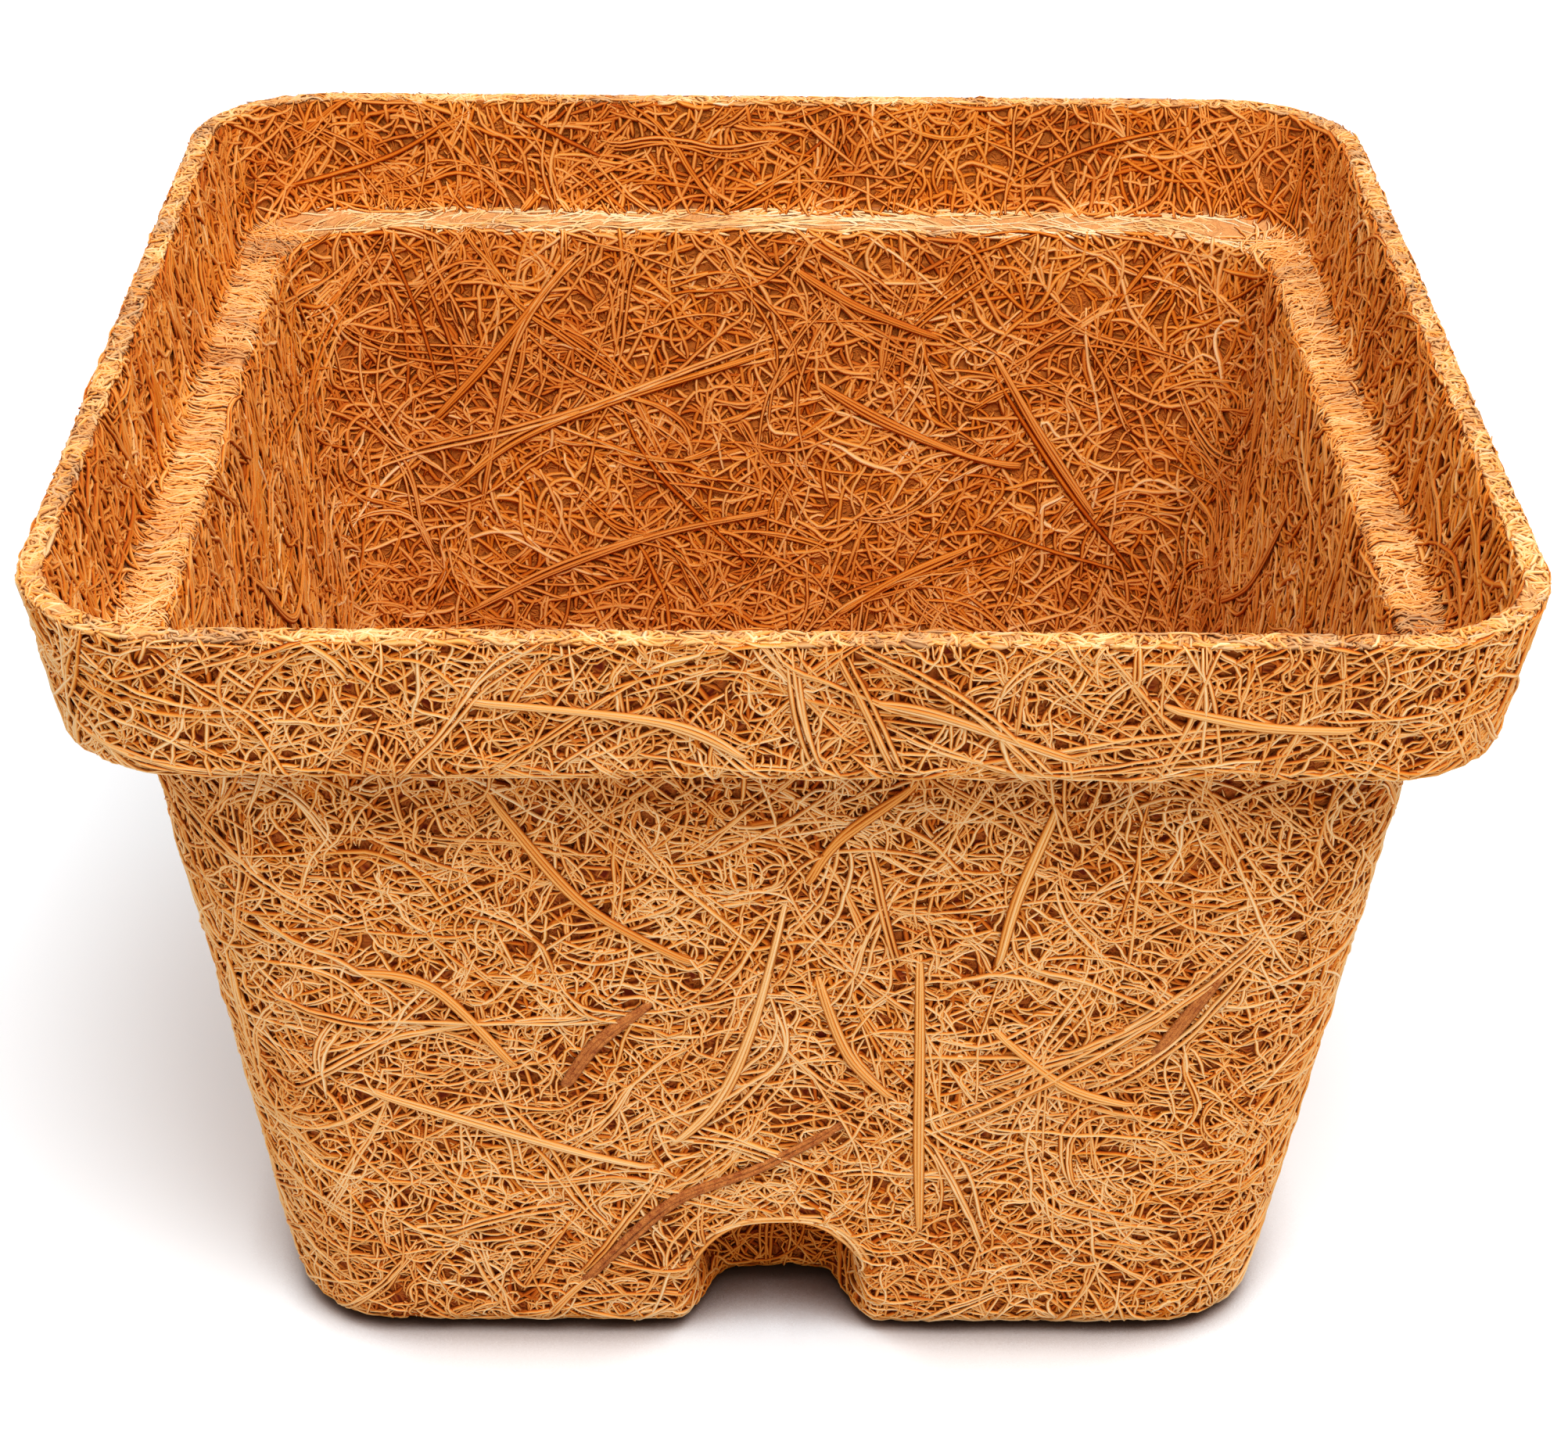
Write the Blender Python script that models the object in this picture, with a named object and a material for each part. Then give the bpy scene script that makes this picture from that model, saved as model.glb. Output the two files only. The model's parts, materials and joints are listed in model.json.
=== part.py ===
"""Square coir pot: a thin pressed shell of bonded coconut fibre, and the long strands lying on it.

Metres, +Z up. The origin is on the floor under the middle of the pot, and the front faces -Y.
Run it with blender --background --python part.py, or from Blender's text editor.
"""
import math
from dataclasses import dataclass

import bmesh
import bpy
from mathutils import Vector

MM = 0.001
MERGE = 0.002 * MM

# The pot, outside
HEIGHT = 67.2 * MM
RIM_WIDTH = 100.0 * MM
RIM_CORNER = 11.3 * MM
COLLAR_HEIGHT = 11.5 * MM
COLLAR_DRAFT = 2.2 * MM
SHOULDER_STEP = 3.7 * MM
BODY_CORNER = 10.4 * MM
BODY_TAPER = 7.5 * MM
FOOT_CORNER = 8.5 * MM

# The felt
WALL = 1.9 * MM
FOOT_ROUNDING = 2.2 * MM
SHOULDER_FILLET = 0.8 * MM
COLLAR_ROUNDING = 1.0 * MM
LEDGE_FILLET = 1.5 * MM
LEDGE_ROUNDING = 1.0 * MM
FLOOR_FILLET = 2.0 * MM

# The drain notch pressed into the foot of each wall
NOTCH_WIDTH = 14.4 * MM
NOTCH_HEIGHT = 11.2 * MM
NOTCH_DEPTH = 6.3 * MM
NOTCH_LIP = 1.6 * MM
NOTCH_FLARE = 5.0 * MM
NOTCH_NARROWING = 1.5 * MM
NOTCH_SQUARENESS = 2.5
NOTCH_SPREAD = 0.35
NOTCH_SWEEP = 1.3

# The long strands
STRAND_WIDTH = 0.8 * MM
STRAND_THICKNESS = 0.45 * MM
BARK_WIDTH = 1.0 * MM
STRAND_GAP = 0.3 * MM

# How finely the round stretches are cut
CORNER_STEPS = 7
EDGE_STEPS = 3
LIP_STEPS = 5
ARCH_STEPS = 10
STRAND_STEPS = 8

# What follows from them
RIM_HALF = RIM_WIDTH / 2
COLLAR_FOOT_HALF = RIM_HALF - COLLAR_DRAFT
BODY_HALF = COLLAR_FOOT_HALF - SHOULDER_STEP
FOOT_HALF = BODY_HALF - BODY_TAPER
SHOULDER_Z = HEIGHT - COLLAR_HEIGHT
LEDGE_Z = SHOULDER_Z + WALL
COLLAR_FLAT = RIM_HALF - RIM_CORNER
BODY_FLAT = BODY_HALF - BODY_CORNER
FOOT_FLAT = FOOT_HALF - FOOT_CORNER
NOTCH_BACK = FOOT_HALF - NOTCH_DEPTH
NOTCH_MARGIN = NOTCH_FLARE
SIDES = ("front", "right", "back", "left")

FELT_COLOUR = (0.55, 0.27, 0.09, 1.0)
STRAND_COLOUR = (0.68, 0.38, 0.15, 1.0)
BARK_COLOUR = (0.28, 0.16, 0.08, 1.0)


def mix(low, high, share):
    """Value at a share of the way from low to high."""
    return low + (high - low) * share


def body_half(z):
    """Half width of the tapered body's outside at a height."""
    return mix(FOOT_HALF, BODY_HALF, z / SHOULDER_Z)


def body_flat(z):
    """Half length of the straight part of the body's side at a height."""
    return mix(FOOT_FLAT, BODY_FLAT, z / SHOULDER_Z)


def collar_half(z):
    """Half width of the collar's outside at a height."""
    return mix(COLLAR_FOOT_HALF, RIM_HALF, (z - SHOULDER_Z) / COLLAR_HEIGHT)


def turned(u, out, z, turns):
    """Point on a side, u along it and out from the middle, turned to one of the four sides."""
    x, y = u, -out
    for _ in range(turns):
        x, y = -y, x
    return Vector((x, y, z))


@dataclass
class Station:
    """One level of the shell's section: half width, straight half length and height.

    gate is the half width of the strip that the notch takes up on a side.
    """

    half: float
    flat: float
    z: float
    gate: float


@dataclass
class NotchSkin:
    """One face of the notched foot, outer or inner: its offset from the outer face and its floor."""

    offset: float
    floor: float
    rounding: float

    @property
    def gate(self):
        """Half width of the strip with the notch in it."""
        return NOTCH_WIDTH / 2 + self.offset + NOTCH_MARGIN

    @property
    def top(self):
        """Height where the notch's strip ends."""
        return NOTCH_HEIGHT + self.offset + NOTCH_MARGIN / 2

    def inset(self, z):
        """How far the rounded foot draws the wall in at a height."""
        rise = min(z - self.floor, self.rounding)
        return self.rounding - math.sqrt(max(self.rounding ** 2 - (self.rounding - rise) ** 2, 0.0))

    def half(self, z):
        """Half width of the wall at a height, with the rounded foot."""
        return body_half(z) - self.offset - self.inset(z)

    def levels(self):
        """Heights of the wall's rows beside the notch, floor first."""
        rounded = [self.floor + self.rounding * (1 - math.cos(math.pi / 2 * step / EDGE_STEPS))
                   for step in range(EDGE_STEPS + 1)]
        middle = mix(rounded[-1], NOTCH_HEIGHT + self.offset, 0.3)
        return rounded + [middle]

    def stations(self):
        """Stations of the rows beside the notch, and of the row just above it."""
        rows = [Station(self.half(z), body_flat(z), z, self.gate) for z in self.levels()]
        return rows + [Station(self.half(self.top), body_flat(self.top), self.top, self.gate)]

    def low(self, z):
        """How near a height is to the floor, 1 there and 0 at the notch's top."""
        return max(1 - z / (NOTCH_HEIGHT + self.offset), 0.0)

    def lip(self, z):
        """Width of the notch's rounded lip, wider towards the floor."""
        return mix(NOTCH_LIP, NOTCH_FLARE, self.low(z) ** 2)

    def wide(self, z, push):
        """Half width of the arch's springing, drawn in towards the floor, pushed outwards."""
        spread = NOTCH_SPREAD * self.inset(z) - NOTCH_NARROWING * self.low(z)
        return NOTCH_WIDTH / 2 + self.offset + push + spread

    def outline(self, share, push):
        """Point of the arch outline, share 0 at its left foot and 1 at its right, pushed outwards."""
        power = 2 / NOTCH_SQUARENESS
        angle = math.pi * share
        z = max(math.sin(angle), 0.0) ** power * (NOTCH_HEIGHT + self.offset + push)
        across = -math.copysign(abs(math.cos(angle)) ** power, math.cos(angle)) * self.wide(z, push)
        return across, z

    def jamb(self, z, push):
        """Half width of the arch outline at a height, pushed outwards."""
        high = NOTCH_HEIGHT + self.offset + push
        return self.wide(z, push) * (1 - (z / high) ** NOTCH_SQUARENESS) ** (1 / NOTCH_SQUARENESS)

    def dented(self, u, z, dent):
        """Point (u, out, z) on the wall, dented from 0, none, to 1, the notch's back wall."""
        back = NOTCH_BACK - self.offset - self.inset(z)
        return u, mix(self.half(z), back, dent), z

    def ring(self, number):
        """Points of one ring round the notch, from the strip's edge, 0, to the recess, LIP_STEPS + 1."""
        levels = self.levels()
        share = (number - 1) / LIP_STEPS
        eased = max(share, 0.0) ** NOTCH_SWEEP
        dent = eased * eased * (3 - 2 * eased)
        left = []
        for z in levels:
            wide = self.gate if number == 0 else self.jamb(z, self.lip(z) * (0.5 - share))
            left.append(self.dented(-wide, z, dent))
        reach = NOTCH_HEIGHT + self.offset
        first = math.asin((levels[-1] / reach) ** (NOTCH_SQUARENESS / 2)) / math.pi
        start = mix(first, 0.5, 0.22)
        over = []
        for step in range(ARCH_STEPS + 1):
            place = mix(start, 1 - start, step / ARCH_STEPS)
            if number == 0:
                over.append(self.dented(mix(-self.gate, self.gate, step / ARCH_STEPS), self.top, 0.0))
            else:
                height = self.outline(place, 0.0)[1]
                u, z = self.outline(place, self.lip(height) * (0.5 - share))
                over.append(self.dented(u, z, dent))
        right = [(-u, out, z) for u, out, z in reversed(left)]
        return left + over + right

    def patch(self):
        """Faces of the notched strip, each a list of points (u, out, z)."""
        rings = [self.ring(number) for number in range(LIP_STEPS + 2)]
        faces = []
        for near, far in zip(rings, rings[1:]):
            for k in range(len(near) - 1):
                faces.append([near[k], near[k + 1], far[k + 1], far[k]])
        inner = rings[-1]
        count = len(self.levels())
        for k in range(count - 1):
            faces.append([inner[k], inner[k + 1], inner[-k - 2], inner[-k - 1]])
        faces.append(inner[count - 1:len(inner) - count + 1])
        return faces


OUTER = NotchSkin(offset=0.0, floor=0.0, rounding=FOOT_ROUNDING)
INNER = NotchSkin(offset=WALL, floor=WALL, rounding=FLOOR_FILLET)


def rounded_step(half, z, radius, start, gate, flat):
    """Stations of a quarter round, from start degrees, about a centre at (half, z)."""
    rows = []
    for step in range(EDGE_STEPS + 1):
        angle = math.radians(start + 90 * step / EDGE_STEPS)
        rows.append(Station(half + radius * math.cos(angle), flat, z + radius * math.sin(angle), gate))
    return rows


def shell_stations():
    """Every level of the shell's section, up the outside from the foot and down the inside."""
    outer = OUTER.stations()
    inner = INNER.stations()
    gate_out = OUTER.gate
    gate_in = INNER.gate

    low = SHOULDER_Z - SHOULDER_FILLET
    under = rounded_step(body_half(low) + SHOULDER_FILLET, low, SHOULDER_FILLET, 180, gate_out, BODY_FLAT)
    under = [Station(row.half, row.flat, 2 * low - row.z, row.gate) for row in under]
    high = SHOULDER_Z + COLLAR_ROUNDING
    skirt = rounded_step(collar_half(high) - COLLAR_ROUNDING, high, COLLAR_ROUNDING, 270, gate_out, COLLAR_FLAT)

    rim = [Station(RIM_HALF, COLLAR_FLAT, HEIGHT, gate_out)]
    rim.append(Station(RIM_HALF - WALL, COLLAR_FLAT, HEIGHT, gate_in))

    base = LEDGE_Z + LEDGE_FILLET
    cove = rounded_step(collar_half(base) - WALL - LEDGE_FILLET, base, LEDGE_FILLET, 270, gate_in, COLLAR_FLAT)
    edge = LEDGE_Z - LEDGE_ROUNDING
    nose = rounded_step(body_half(edge) - WALL + LEDGE_ROUNDING, edge, LEDGE_ROUNDING, 90, gate_in, BODY_FLAT)
    return outer + under + skirt + rim + cove[::-1] + nose + inner[::-1]


def side_points(station, turns):
    """Points of one side of a level, from its left corner's end to the next side's start."""
    places = [-station.flat]
    places += [mix(-station.gate, station.gate, step / ARCH_STEPS) for step in range(ARCH_STEPS + 1)]
    places.append(station.flat)
    points = [turned(u, station.half, station.z, turns) for u in places]
    corner = station.half - station.flat
    for step in range(1, CORNER_STEPS + 1):
        angle = math.pi / 2 * step / CORNER_STEPS
        across = station.flat + corner * math.sin(angle)
        out = station.flat + corner * math.cos(angle)
        points.append(turned(across, out, station.z, turns))
    return points


def finish_mesh(bm, name, material):
    """Turns a bmesh into a smooth-shaded object with one material."""
    bmesh.ops.remove_doubles(bm, verts=bm.verts, dist=MERGE)
    bmesh.ops.recalc_face_normals(bm, faces=bm.faces)
    mesh = bpy.data.meshes.new(name)
    bm.to_mesh(mesh)
    bm.free()
    mesh.materials.append(material)
    mesh.shade_smooth()
    mesh.set_sharp_from_angle(angle=math.radians(35))
    obj = bpy.data.objects.new(name, mesh)
    bpy.context.scene.collection.objects.link(obj)
    return obj


def make_shell(material):
    """The pressed pot: floor, four tapered walls with a notch each, shoulder, collar and rim."""
    bm = bmesh.new()
    stations = shell_stations()
    outer_rows = len(OUTER.levels())
    inner_rows = len(INNER.levels())
    for turns, _ in enumerate(SIDES):
        rows = [side_points(station, turns) for station in stations]
        for k in range(len(rows) - 1):
            beside_notch = k < outer_rows or k >= len(rows) - 1 - inner_rows
            for j in range(len(rows[k]) - 1):
                if beside_notch and 1 <= j <= ARCH_STEPS:
                    continue
                corners = (rows[k][j], rows[k][j + 1], rows[k + 1][j + 1], rows[k + 1][j])
                bm.faces.new([bm.verts.new(point) for point in corners])
        for skin in (OUTER, INNER):
            for face in skin.patch():
                bm.faces.new([bm.verts.new(turned(*point, turns)) for point in face])
    bmesh.ops.remove_doubles(bm, verts=bm.verts, dist=MERGE)
    open_edges = [edge for edge in bm.edges if edge.is_boundary]
    bmesh.ops.holes_fill(bm, edges=open_edges, sides=0)
    bmesh.ops.triangulate(bm, faces=bm.faces)
    return finish_mesh(bm, "pot_shell", material)


@dataclass
class Ground:
    """A plane face that strands lie on, between two heights, with the side that it faces."""

    half: callable
    flat: callable
    low: float
    high: float
    facing: int

    def place(self, across, up, lift, turns):
        """World point at shares across and up the plane, lifted off it."""
        z = mix(self.low, self.high, up)
        lean = (self.half(self.high) - self.half(self.low)) / (self.high - self.low)
        tilt = math.hypot(1.0, lean)
        u = across * self.flat(z)
        out = self.half(z) + self.facing * lift / tilt
        return turned(u, out, z - self.facing * lift * lean / tilt, turns)


BODY_FACE = Ground(body_half, body_flat, FOOT_ROUNDING, SHOULDER_Z - SHOULDER_FILLET, 1)
COLLAR_FACE = Ground(collar_half, lambda z: COLLAR_FLAT, SHOULDER_Z + COLLAR_ROUNDING, HEIGHT, 1)
INSIDE_FACE = Ground(lambda z: body_half(z) - WALL, body_flat, WALL + FLOOR_FILLET,
                     LEDGE_Z - LEDGE_ROUNDING, -1)


def curve_point(route, share):
    """Point of a smooth curve through a strand's route, share 0 to 1 along it."""
    spans = len(route) - 1
    place = share * spans
    k = min(int(place), spans - 1)
    t = place - k
    before = route[max(k - 1, 0)]
    after = route[min(k + 2, spans)]
    a, b = route[k], route[k + 1]
    out = []
    for p0, p1, p2, p3 in zip(before, a, b, after):
        slope_a = (p2 - p0) / 2
        slope_b = (p3 - p1) / 2
        value = (2 * t ** 3 - 3 * t ** 2 + 1) * p1 + (t ** 3 - 2 * t ** 2 + t) * slope_a
        value += (3 * t ** 2 - 2 * t ** 3) * p2 + (t ** 3 - t ** 2) * slope_b
        out.append(value)
    return out


def make_strand(name, ground, side, width, route, material):
    """A long flat strand on a plane: six-sided, thinner to its ends, a small gap off the felt."""
    bm = bmesh.new()
    turns = SIDES.index(side)
    rings = []
    for step in range(STRAND_STEPS + 1):
        share = step / STRAND_STEPS
        across, up = curve_point(route, share)
        ahead = curve_point(route, min(share + 0.01, 1.0))
        behind = curve_point(route, max(share - 0.01, 0.0))
        lift = STRAND_GAP + STRAND_THICKNESS / 2
        middle = ground.place(across, up, lift, turns)
        off = (ground.place(across, up, lift + MM, turns) - middle).normalized()
        along = ground.place(*ahead, lift, turns) - ground.place(*behind, lift, turns)
        cross = off.cross(along).normalized()
        swell = mix(0.45, 1.0, math.sin(math.pi * share) ** 0.5)
        half_width = width / 2 * swell
        half_depth = STRAND_THICKNESS / 2 * swell
        seat = middle - off * (STRAND_THICKNESS / 2 - half_depth)
        section = [(-1, 0), (-0.55, 1), (0.55, 1), (1, 0), (0.55, -1), (-0.55, -1)]
        rings.append([bm.verts.new(seat + cross * half_width * a + off * half_depth * b) for a, b in section])
    for near, far in zip(rings, rings[1:]):
        for k in range(len(near)):
            bm.faces.new([near[k - 1], near[k], far[k], far[k - 1]])
    bm.faces.new(rings[0])
    bm.faces.new(rings[-1])
    return finish_mesh(bm, name, material)


def make_material(name, colour, roughness):
    """A plain non-metal finish."""
    material = bpy.data.materials.new(name)
    material.use_nodes = True
    shader = material.node_tree.nodes["Principled BSDF"]
    shader.inputs["Base Color"].default_value = colour
    shader.inputs["Roughness"].default_value = roughness
    shader.inputs["Metallic"].default_value = 0.0
    material.diffuse_color = colour
    return material


# Routes of the long strands: shares across the flat of the side, -1 to 1, and up it, 0 to 1
BODY_STRANDS = {
    "front": [
        [(-0.98, 0.44), (-0.52, 0.33), (-0.30, 0.29)],
        [(-0.94, 0.65), (-0.76, 0.62), (-0.60, 0.47)],
        [(-0.60, 0.96), (-0.42, 0.77), (-0.18, 0.66)],
        [(0.01, 0.77), (-0.06, 0.56), (-0.14, 0.42), (-0.26, 0.33)],
        [(0.08, 0.64), (0.16, 0.50), (0.27, 0.42)],
        [(0.27, 0.97), (0.12, 0.88), (0.05, 0.80)],
        [(0.30, 0.68), (0.33, 0.40), (0.36, 0.16)],
        [(0.55, 0.93), (0.50, 0.80), (0.47, 0.66)],
        [(0.48, 0.55), (0.66, 0.45), (0.84, 0.41)],
    ],
    "right": [
        [(-0.85, 0.30), (-0.45, 0.52), (-0.10, 0.60)],
        [(-0.75, 0.90), (-0.40, 0.80), (-0.05, 0.84)],
        [(0.15, 0.35), (0.30, 0.60), (0.36, 0.90)],
        [(0.50, 0.25), (0.72, 0.48), (0.92, 0.56)],
        [(0.52, 0.86), (0.72, 0.78), (0.92, 0.75)],
    ],
    "back": [
        [(-0.90, 0.72), (-0.55, 0.84), (-0.20, 0.82)],
        [(-0.80, 0.20), (-0.50, 0.42), (-0.28, 0.55)],
        [(-0.02, 0.36), (0.05, 0.60), (0.00, 0.90)],
        [(0.25, 0.92), (0.48, 0.66), (0.88, 0.58)],
        [(0.30, 0.36), (0.60, 0.36), (0.88, 0.22)],
    ],
    "left": [
        [(-0.88, 0.55), (-0.60, 0.78), (-0.40, 0.94)],
        [(-0.70, 0.22), (-0.40, 0.40), (-0.08, 0.46)],
        [(-0.15, 0.62), (0.15, 0.72), (0.50, 0.66)],
        [(0.30, 0.36), (0.60, 0.34), (0.84, 0.46)],
        [(0.55, 0.94), (0.74, 0.89), (0.92, 0.82)],
    ],
}
COLLAR_STRANDS = {
    "front": [
        [(-0.55, 0.55), (-0.20, 0.38), (-0.06, 0.08)],
        [(0.14, 0.55), (0.26, 0.44), (0.50, 0.06)],
        [(0.62, 0.52), (0.78, 0.38), (0.95, 0.34)],
    ],
    "right": [[(-0.60, 0.20), (-0.10, 0.50), (0.45, 0.55)]],
    "back": [
        [(-0.85, 0.50), (-0.40, 0.22), (-0.10, 0.25)],
        [(0.15, 0.50), (0.50, 0.32), (0.85, 0.50)],
    ],
    "left": [[(-0.50, 0.52), (0.05, 0.30), (0.62, 0.42)]],
}
INSIDE_STRANDS = {
    "front": [[(-0.60, 0.60), (-0.20, 0.74), (0.30, 0.72)]],
    "right": [
        [(-0.80, 0.40), (-0.45, 0.64), (-0.30, 0.90)],
        [(0.20, 0.86), (0.45, 0.64), (0.80, 0.50)],
    ],
    "back": [
        [(0.53, 0.97), (0.75, 0.81), (0.96, 0.68)],
        [(0.00, 0.81), (0.46, 0.72), (0.73, 0.65), (0.93, 0.56)],
        [(-0.02, 0.53), (0.31, 0.49), (0.65, 0.42), (0.96, 0.33)],
        [(-0.59, 0.81), (-0.74, 0.67), (-0.93, 0.52)],
        [(-0.10, 0.76), (-0.30, 0.69), (-0.54, 0.63), (-0.70, 0.61)],
        [(-0.05, 0.95), (-0.21, 0.89), (-0.46, 0.83)],
        [(-0.19, 0.34), (-0.38, 0.41), (-0.60, 0.47)],
    ],
    "left": [
        [(-0.75, 0.70), (-0.30, 0.62), (0.05, 0.80)],
        [(0.35, 0.42), (0.55, 0.62), (0.85, 0.72)],
    ],
}
BARK_SLIVERS = {
    "front": [
        [(-0.28, 0.60), (-0.42, 0.52), (-0.50, 0.44)],
        [(0.97, 0.66), (0.91, 0.58), (0.85, 0.50)],
        [(0.17, 0.38), (-0.05, 0.29), (-0.25, 0.23), (-0.41, 0.13), (-0.52, 0.05)],
    ],
    "back": [[(0.36, 0.50), (0.58, 0.50), (0.80, 0.42)]],
}


def make_strands(prefix, ground, routes, width, material):
    """A numbered object for each route, named for the side that it lies on."""
    for side, lines in routes.items():
        for number, route in enumerate(lines, 1):
            make_strand(f"{side}_{prefix}_{number}", ground, side, width, route, material)


def main():
    """Clears the scene and builds the pot."""
    for obj in list(bpy.data.objects):
        bpy.data.objects.remove(obj, do_unlink=True)
    felt = make_material("pressed_coir_felt", FELT_COLOUR, 0.85)
    strand = make_material("long_coir_strand", STRAND_COLOUR, 0.65)
    bark = make_material("husk_bark", BARK_COLOUR, 0.8)
    make_shell(felt)
    make_strands("wall_strand", BODY_FACE, BODY_STRANDS, STRAND_WIDTH, strand)
    make_strands("collar_strand", COLLAR_FACE, COLLAR_STRANDS, STRAND_WIDTH, strand)
    make_strands("inside_strand", INSIDE_FACE, INSIDE_STRANDS, STRAND_WIDTH, strand)
    make_strands("bark_sliver", BODY_FACE, BARK_SLIVERS, BARK_WIDTH, bark)


main()
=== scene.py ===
"""Looks of a square coir plant pot: a pressed felt of coconut fibre with long strands lying on it.

The felt is built as it is in the real pot: a thin core, and thousands of separate fibres that run over
each other on its skin, in the directions in which the press combs them.
"""
import json
import logging
import math
from dataclasses import dataclass, field, replace
from enum import Enum

import bpy
import numpy as np
from mathutils import Matrix, Vector

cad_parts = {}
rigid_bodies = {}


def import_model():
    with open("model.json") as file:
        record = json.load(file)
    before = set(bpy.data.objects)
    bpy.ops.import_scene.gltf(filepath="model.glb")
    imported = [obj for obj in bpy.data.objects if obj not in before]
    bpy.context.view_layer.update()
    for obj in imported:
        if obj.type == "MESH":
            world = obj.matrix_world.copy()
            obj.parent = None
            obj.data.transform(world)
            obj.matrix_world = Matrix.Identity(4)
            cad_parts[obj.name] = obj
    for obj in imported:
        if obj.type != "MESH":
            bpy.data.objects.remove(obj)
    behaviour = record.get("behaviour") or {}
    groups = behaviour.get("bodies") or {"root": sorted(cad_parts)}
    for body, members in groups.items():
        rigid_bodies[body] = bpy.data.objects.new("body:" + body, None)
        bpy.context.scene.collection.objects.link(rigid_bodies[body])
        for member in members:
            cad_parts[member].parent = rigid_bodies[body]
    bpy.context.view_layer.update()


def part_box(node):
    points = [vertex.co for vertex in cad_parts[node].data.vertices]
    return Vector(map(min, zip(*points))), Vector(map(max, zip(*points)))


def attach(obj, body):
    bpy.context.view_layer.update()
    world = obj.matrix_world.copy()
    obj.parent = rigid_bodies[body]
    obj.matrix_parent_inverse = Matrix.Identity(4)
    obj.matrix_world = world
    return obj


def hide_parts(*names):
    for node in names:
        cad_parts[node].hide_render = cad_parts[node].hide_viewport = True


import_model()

LOG = logging.getLogger("coir_pot")
MM = 0.001
SIDES = ("front", "right", "back", "left")
FIBRE_SEED = 20240611
PATCH_SEED = 7
ABOUT_A_TURN = 6.28
Array = np.ndarray
Rng = np.random.Generator
Span = tuple[float, float]
Route = list[Span]
Material = bpy.types.Material
Socket = bpy.types.NodeSocket
Tree = bpy.types.NodeTree


def mix(low: float, high: float, share: float) -> float:
    """Value at a share of the way from low to high."""
    return low + (high - low) * share


def smooth(share: Array) -> Array:
    """Share eased at both ends and held between 0 and 1."""
    held = np.clip(share, 0.0, 1.0)
    return held * held * (3 - 2 * held)


def linear(colour: str) -> tuple[float, float, float, float]:
    """Turns an sRGB hex colour into linear light.

    Args:
        colour: six hex digits after a hash.

    Returns:
        Red, green, blue and an alpha of 1.
    """
    parts = [int(colour[k:k + 2], 16) / 255 for k in (1, 3, 5)]
    light = [part / 12.92 if part <= 0.04045 else ((part + 0.055) / 1.055) ** 2.4 for part in parts]
    return light[0], light[1], light[2], 1.0


def add(tree: Tree, kind: str, inputs: dict | None = None, **settings) -> bpy.types.Node:
    """Adds a node with its settings and links.

    Args:
        tree: node tree that gets the node.
        kind: the node's type name.
        inputs: value of each input, or the output socket that feeds it.
        settings: the node's own settings; stops fills a colour ramp.

    Returns:
        The new node.
    """
    node = tree.nodes.new(kind)
    stops = settings.pop("stops", ())
    for name, value in settings.items():
        setattr(node, name, value)
    for number, (place, colour) in enumerate(stops):
        ramp = node.color_ramp.elements
        stop = ramp[number] if number < len(ramp) else ramp.new(place)
        stop.position = place
        stop.color = linear(colour)
    for name, value in (inputs or {}).items():
        if isinstance(value, Socket):
            tree.links.new(value, node.inputs[name])
        else:
            node.inputs[name].default_value = value
    return node


def remap(tree: Tree, value: Socket, span: Span = (0.0, 1.0), onto: tuple = (0.0, 1.0), **settings) -> Socket:
    """Carries a value from one range onto another, held at the ends."""
    inputs = {"Value": value, "From Min": span[0], "From Max": span[1], "To Min": onto[0], "To Max": onto[1]}
    return add(tree, "ShaderNodeMapRange", inputs, **settings).outputs["Result"]


def calc(tree: Tree, operation: str, *values: Socket | float, **settings) -> Socket:
    """Reckons with numbers and sockets."""
    return add(tree, "ShaderNodeMath", dict(enumerate(values)), operation=operation, **settings).outputs[0]


def vector(tree: Tree, operation: str, inputs: dict) -> bpy.types.Node:
    """Reckons with vectors."""
    return add(tree, "ShaderNodeVectorMath", inputs, operation=operation)


def noise(tree: Tree, place: Socket, size: float, detail: float = 2.0) -> bpy.types.Node:
    """Noise whose blots are about a size in metres."""
    return add(tree, "ShaderNodeTexNoise", {"Vector": place, "Scale": 1 / size, "Detail": detail})


def ramp(tree: Tree, value: Socket, colours: tuple[str, ...]) -> Socket:
    """Reads a value off a row of evenly spaced colours."""
    stops = [(k / (len(colours) - 1), colour) for k, colour in enumerate(colours)]
    return add(tree, "ShaderNodeValToRGB", {"Fac": value}, stops=stops).outputs["Color"]


def blend(tree: Tree, share: Socket, low: Socket | tuple, high: Socket | tuple) -> Socket:
    """Mixes two colours."""
    return add(tree, "ShaderNodeMix", {0: share, 6: low, 7: high}, data_type="RGBA").outputs[2]


def new_material(name: str) -> tuple[Material, Tree]:
    """A new material and its node tree."""
    material = bpy.data.materials.new(name)
    material.use_nodes = True
    return material, material.node_tree


def surface(tree: Tree, colour: Socket, rough: Socket, bump: bpy.types.Node, specular: float) -> None:
    """Feeds a tree's shader with what all the pot's materials have."""
    shader = tree.nodes["Principled BSDF"]
    for name, socket in (("Base Color", colour), ("Roughness", rough), ("Normal", bump.outputs["Normal"])):
        tree.links.new(socket, shader.inputs[name])
    shader.inputs["Specular IOR Level"].default_value = specular


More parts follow.
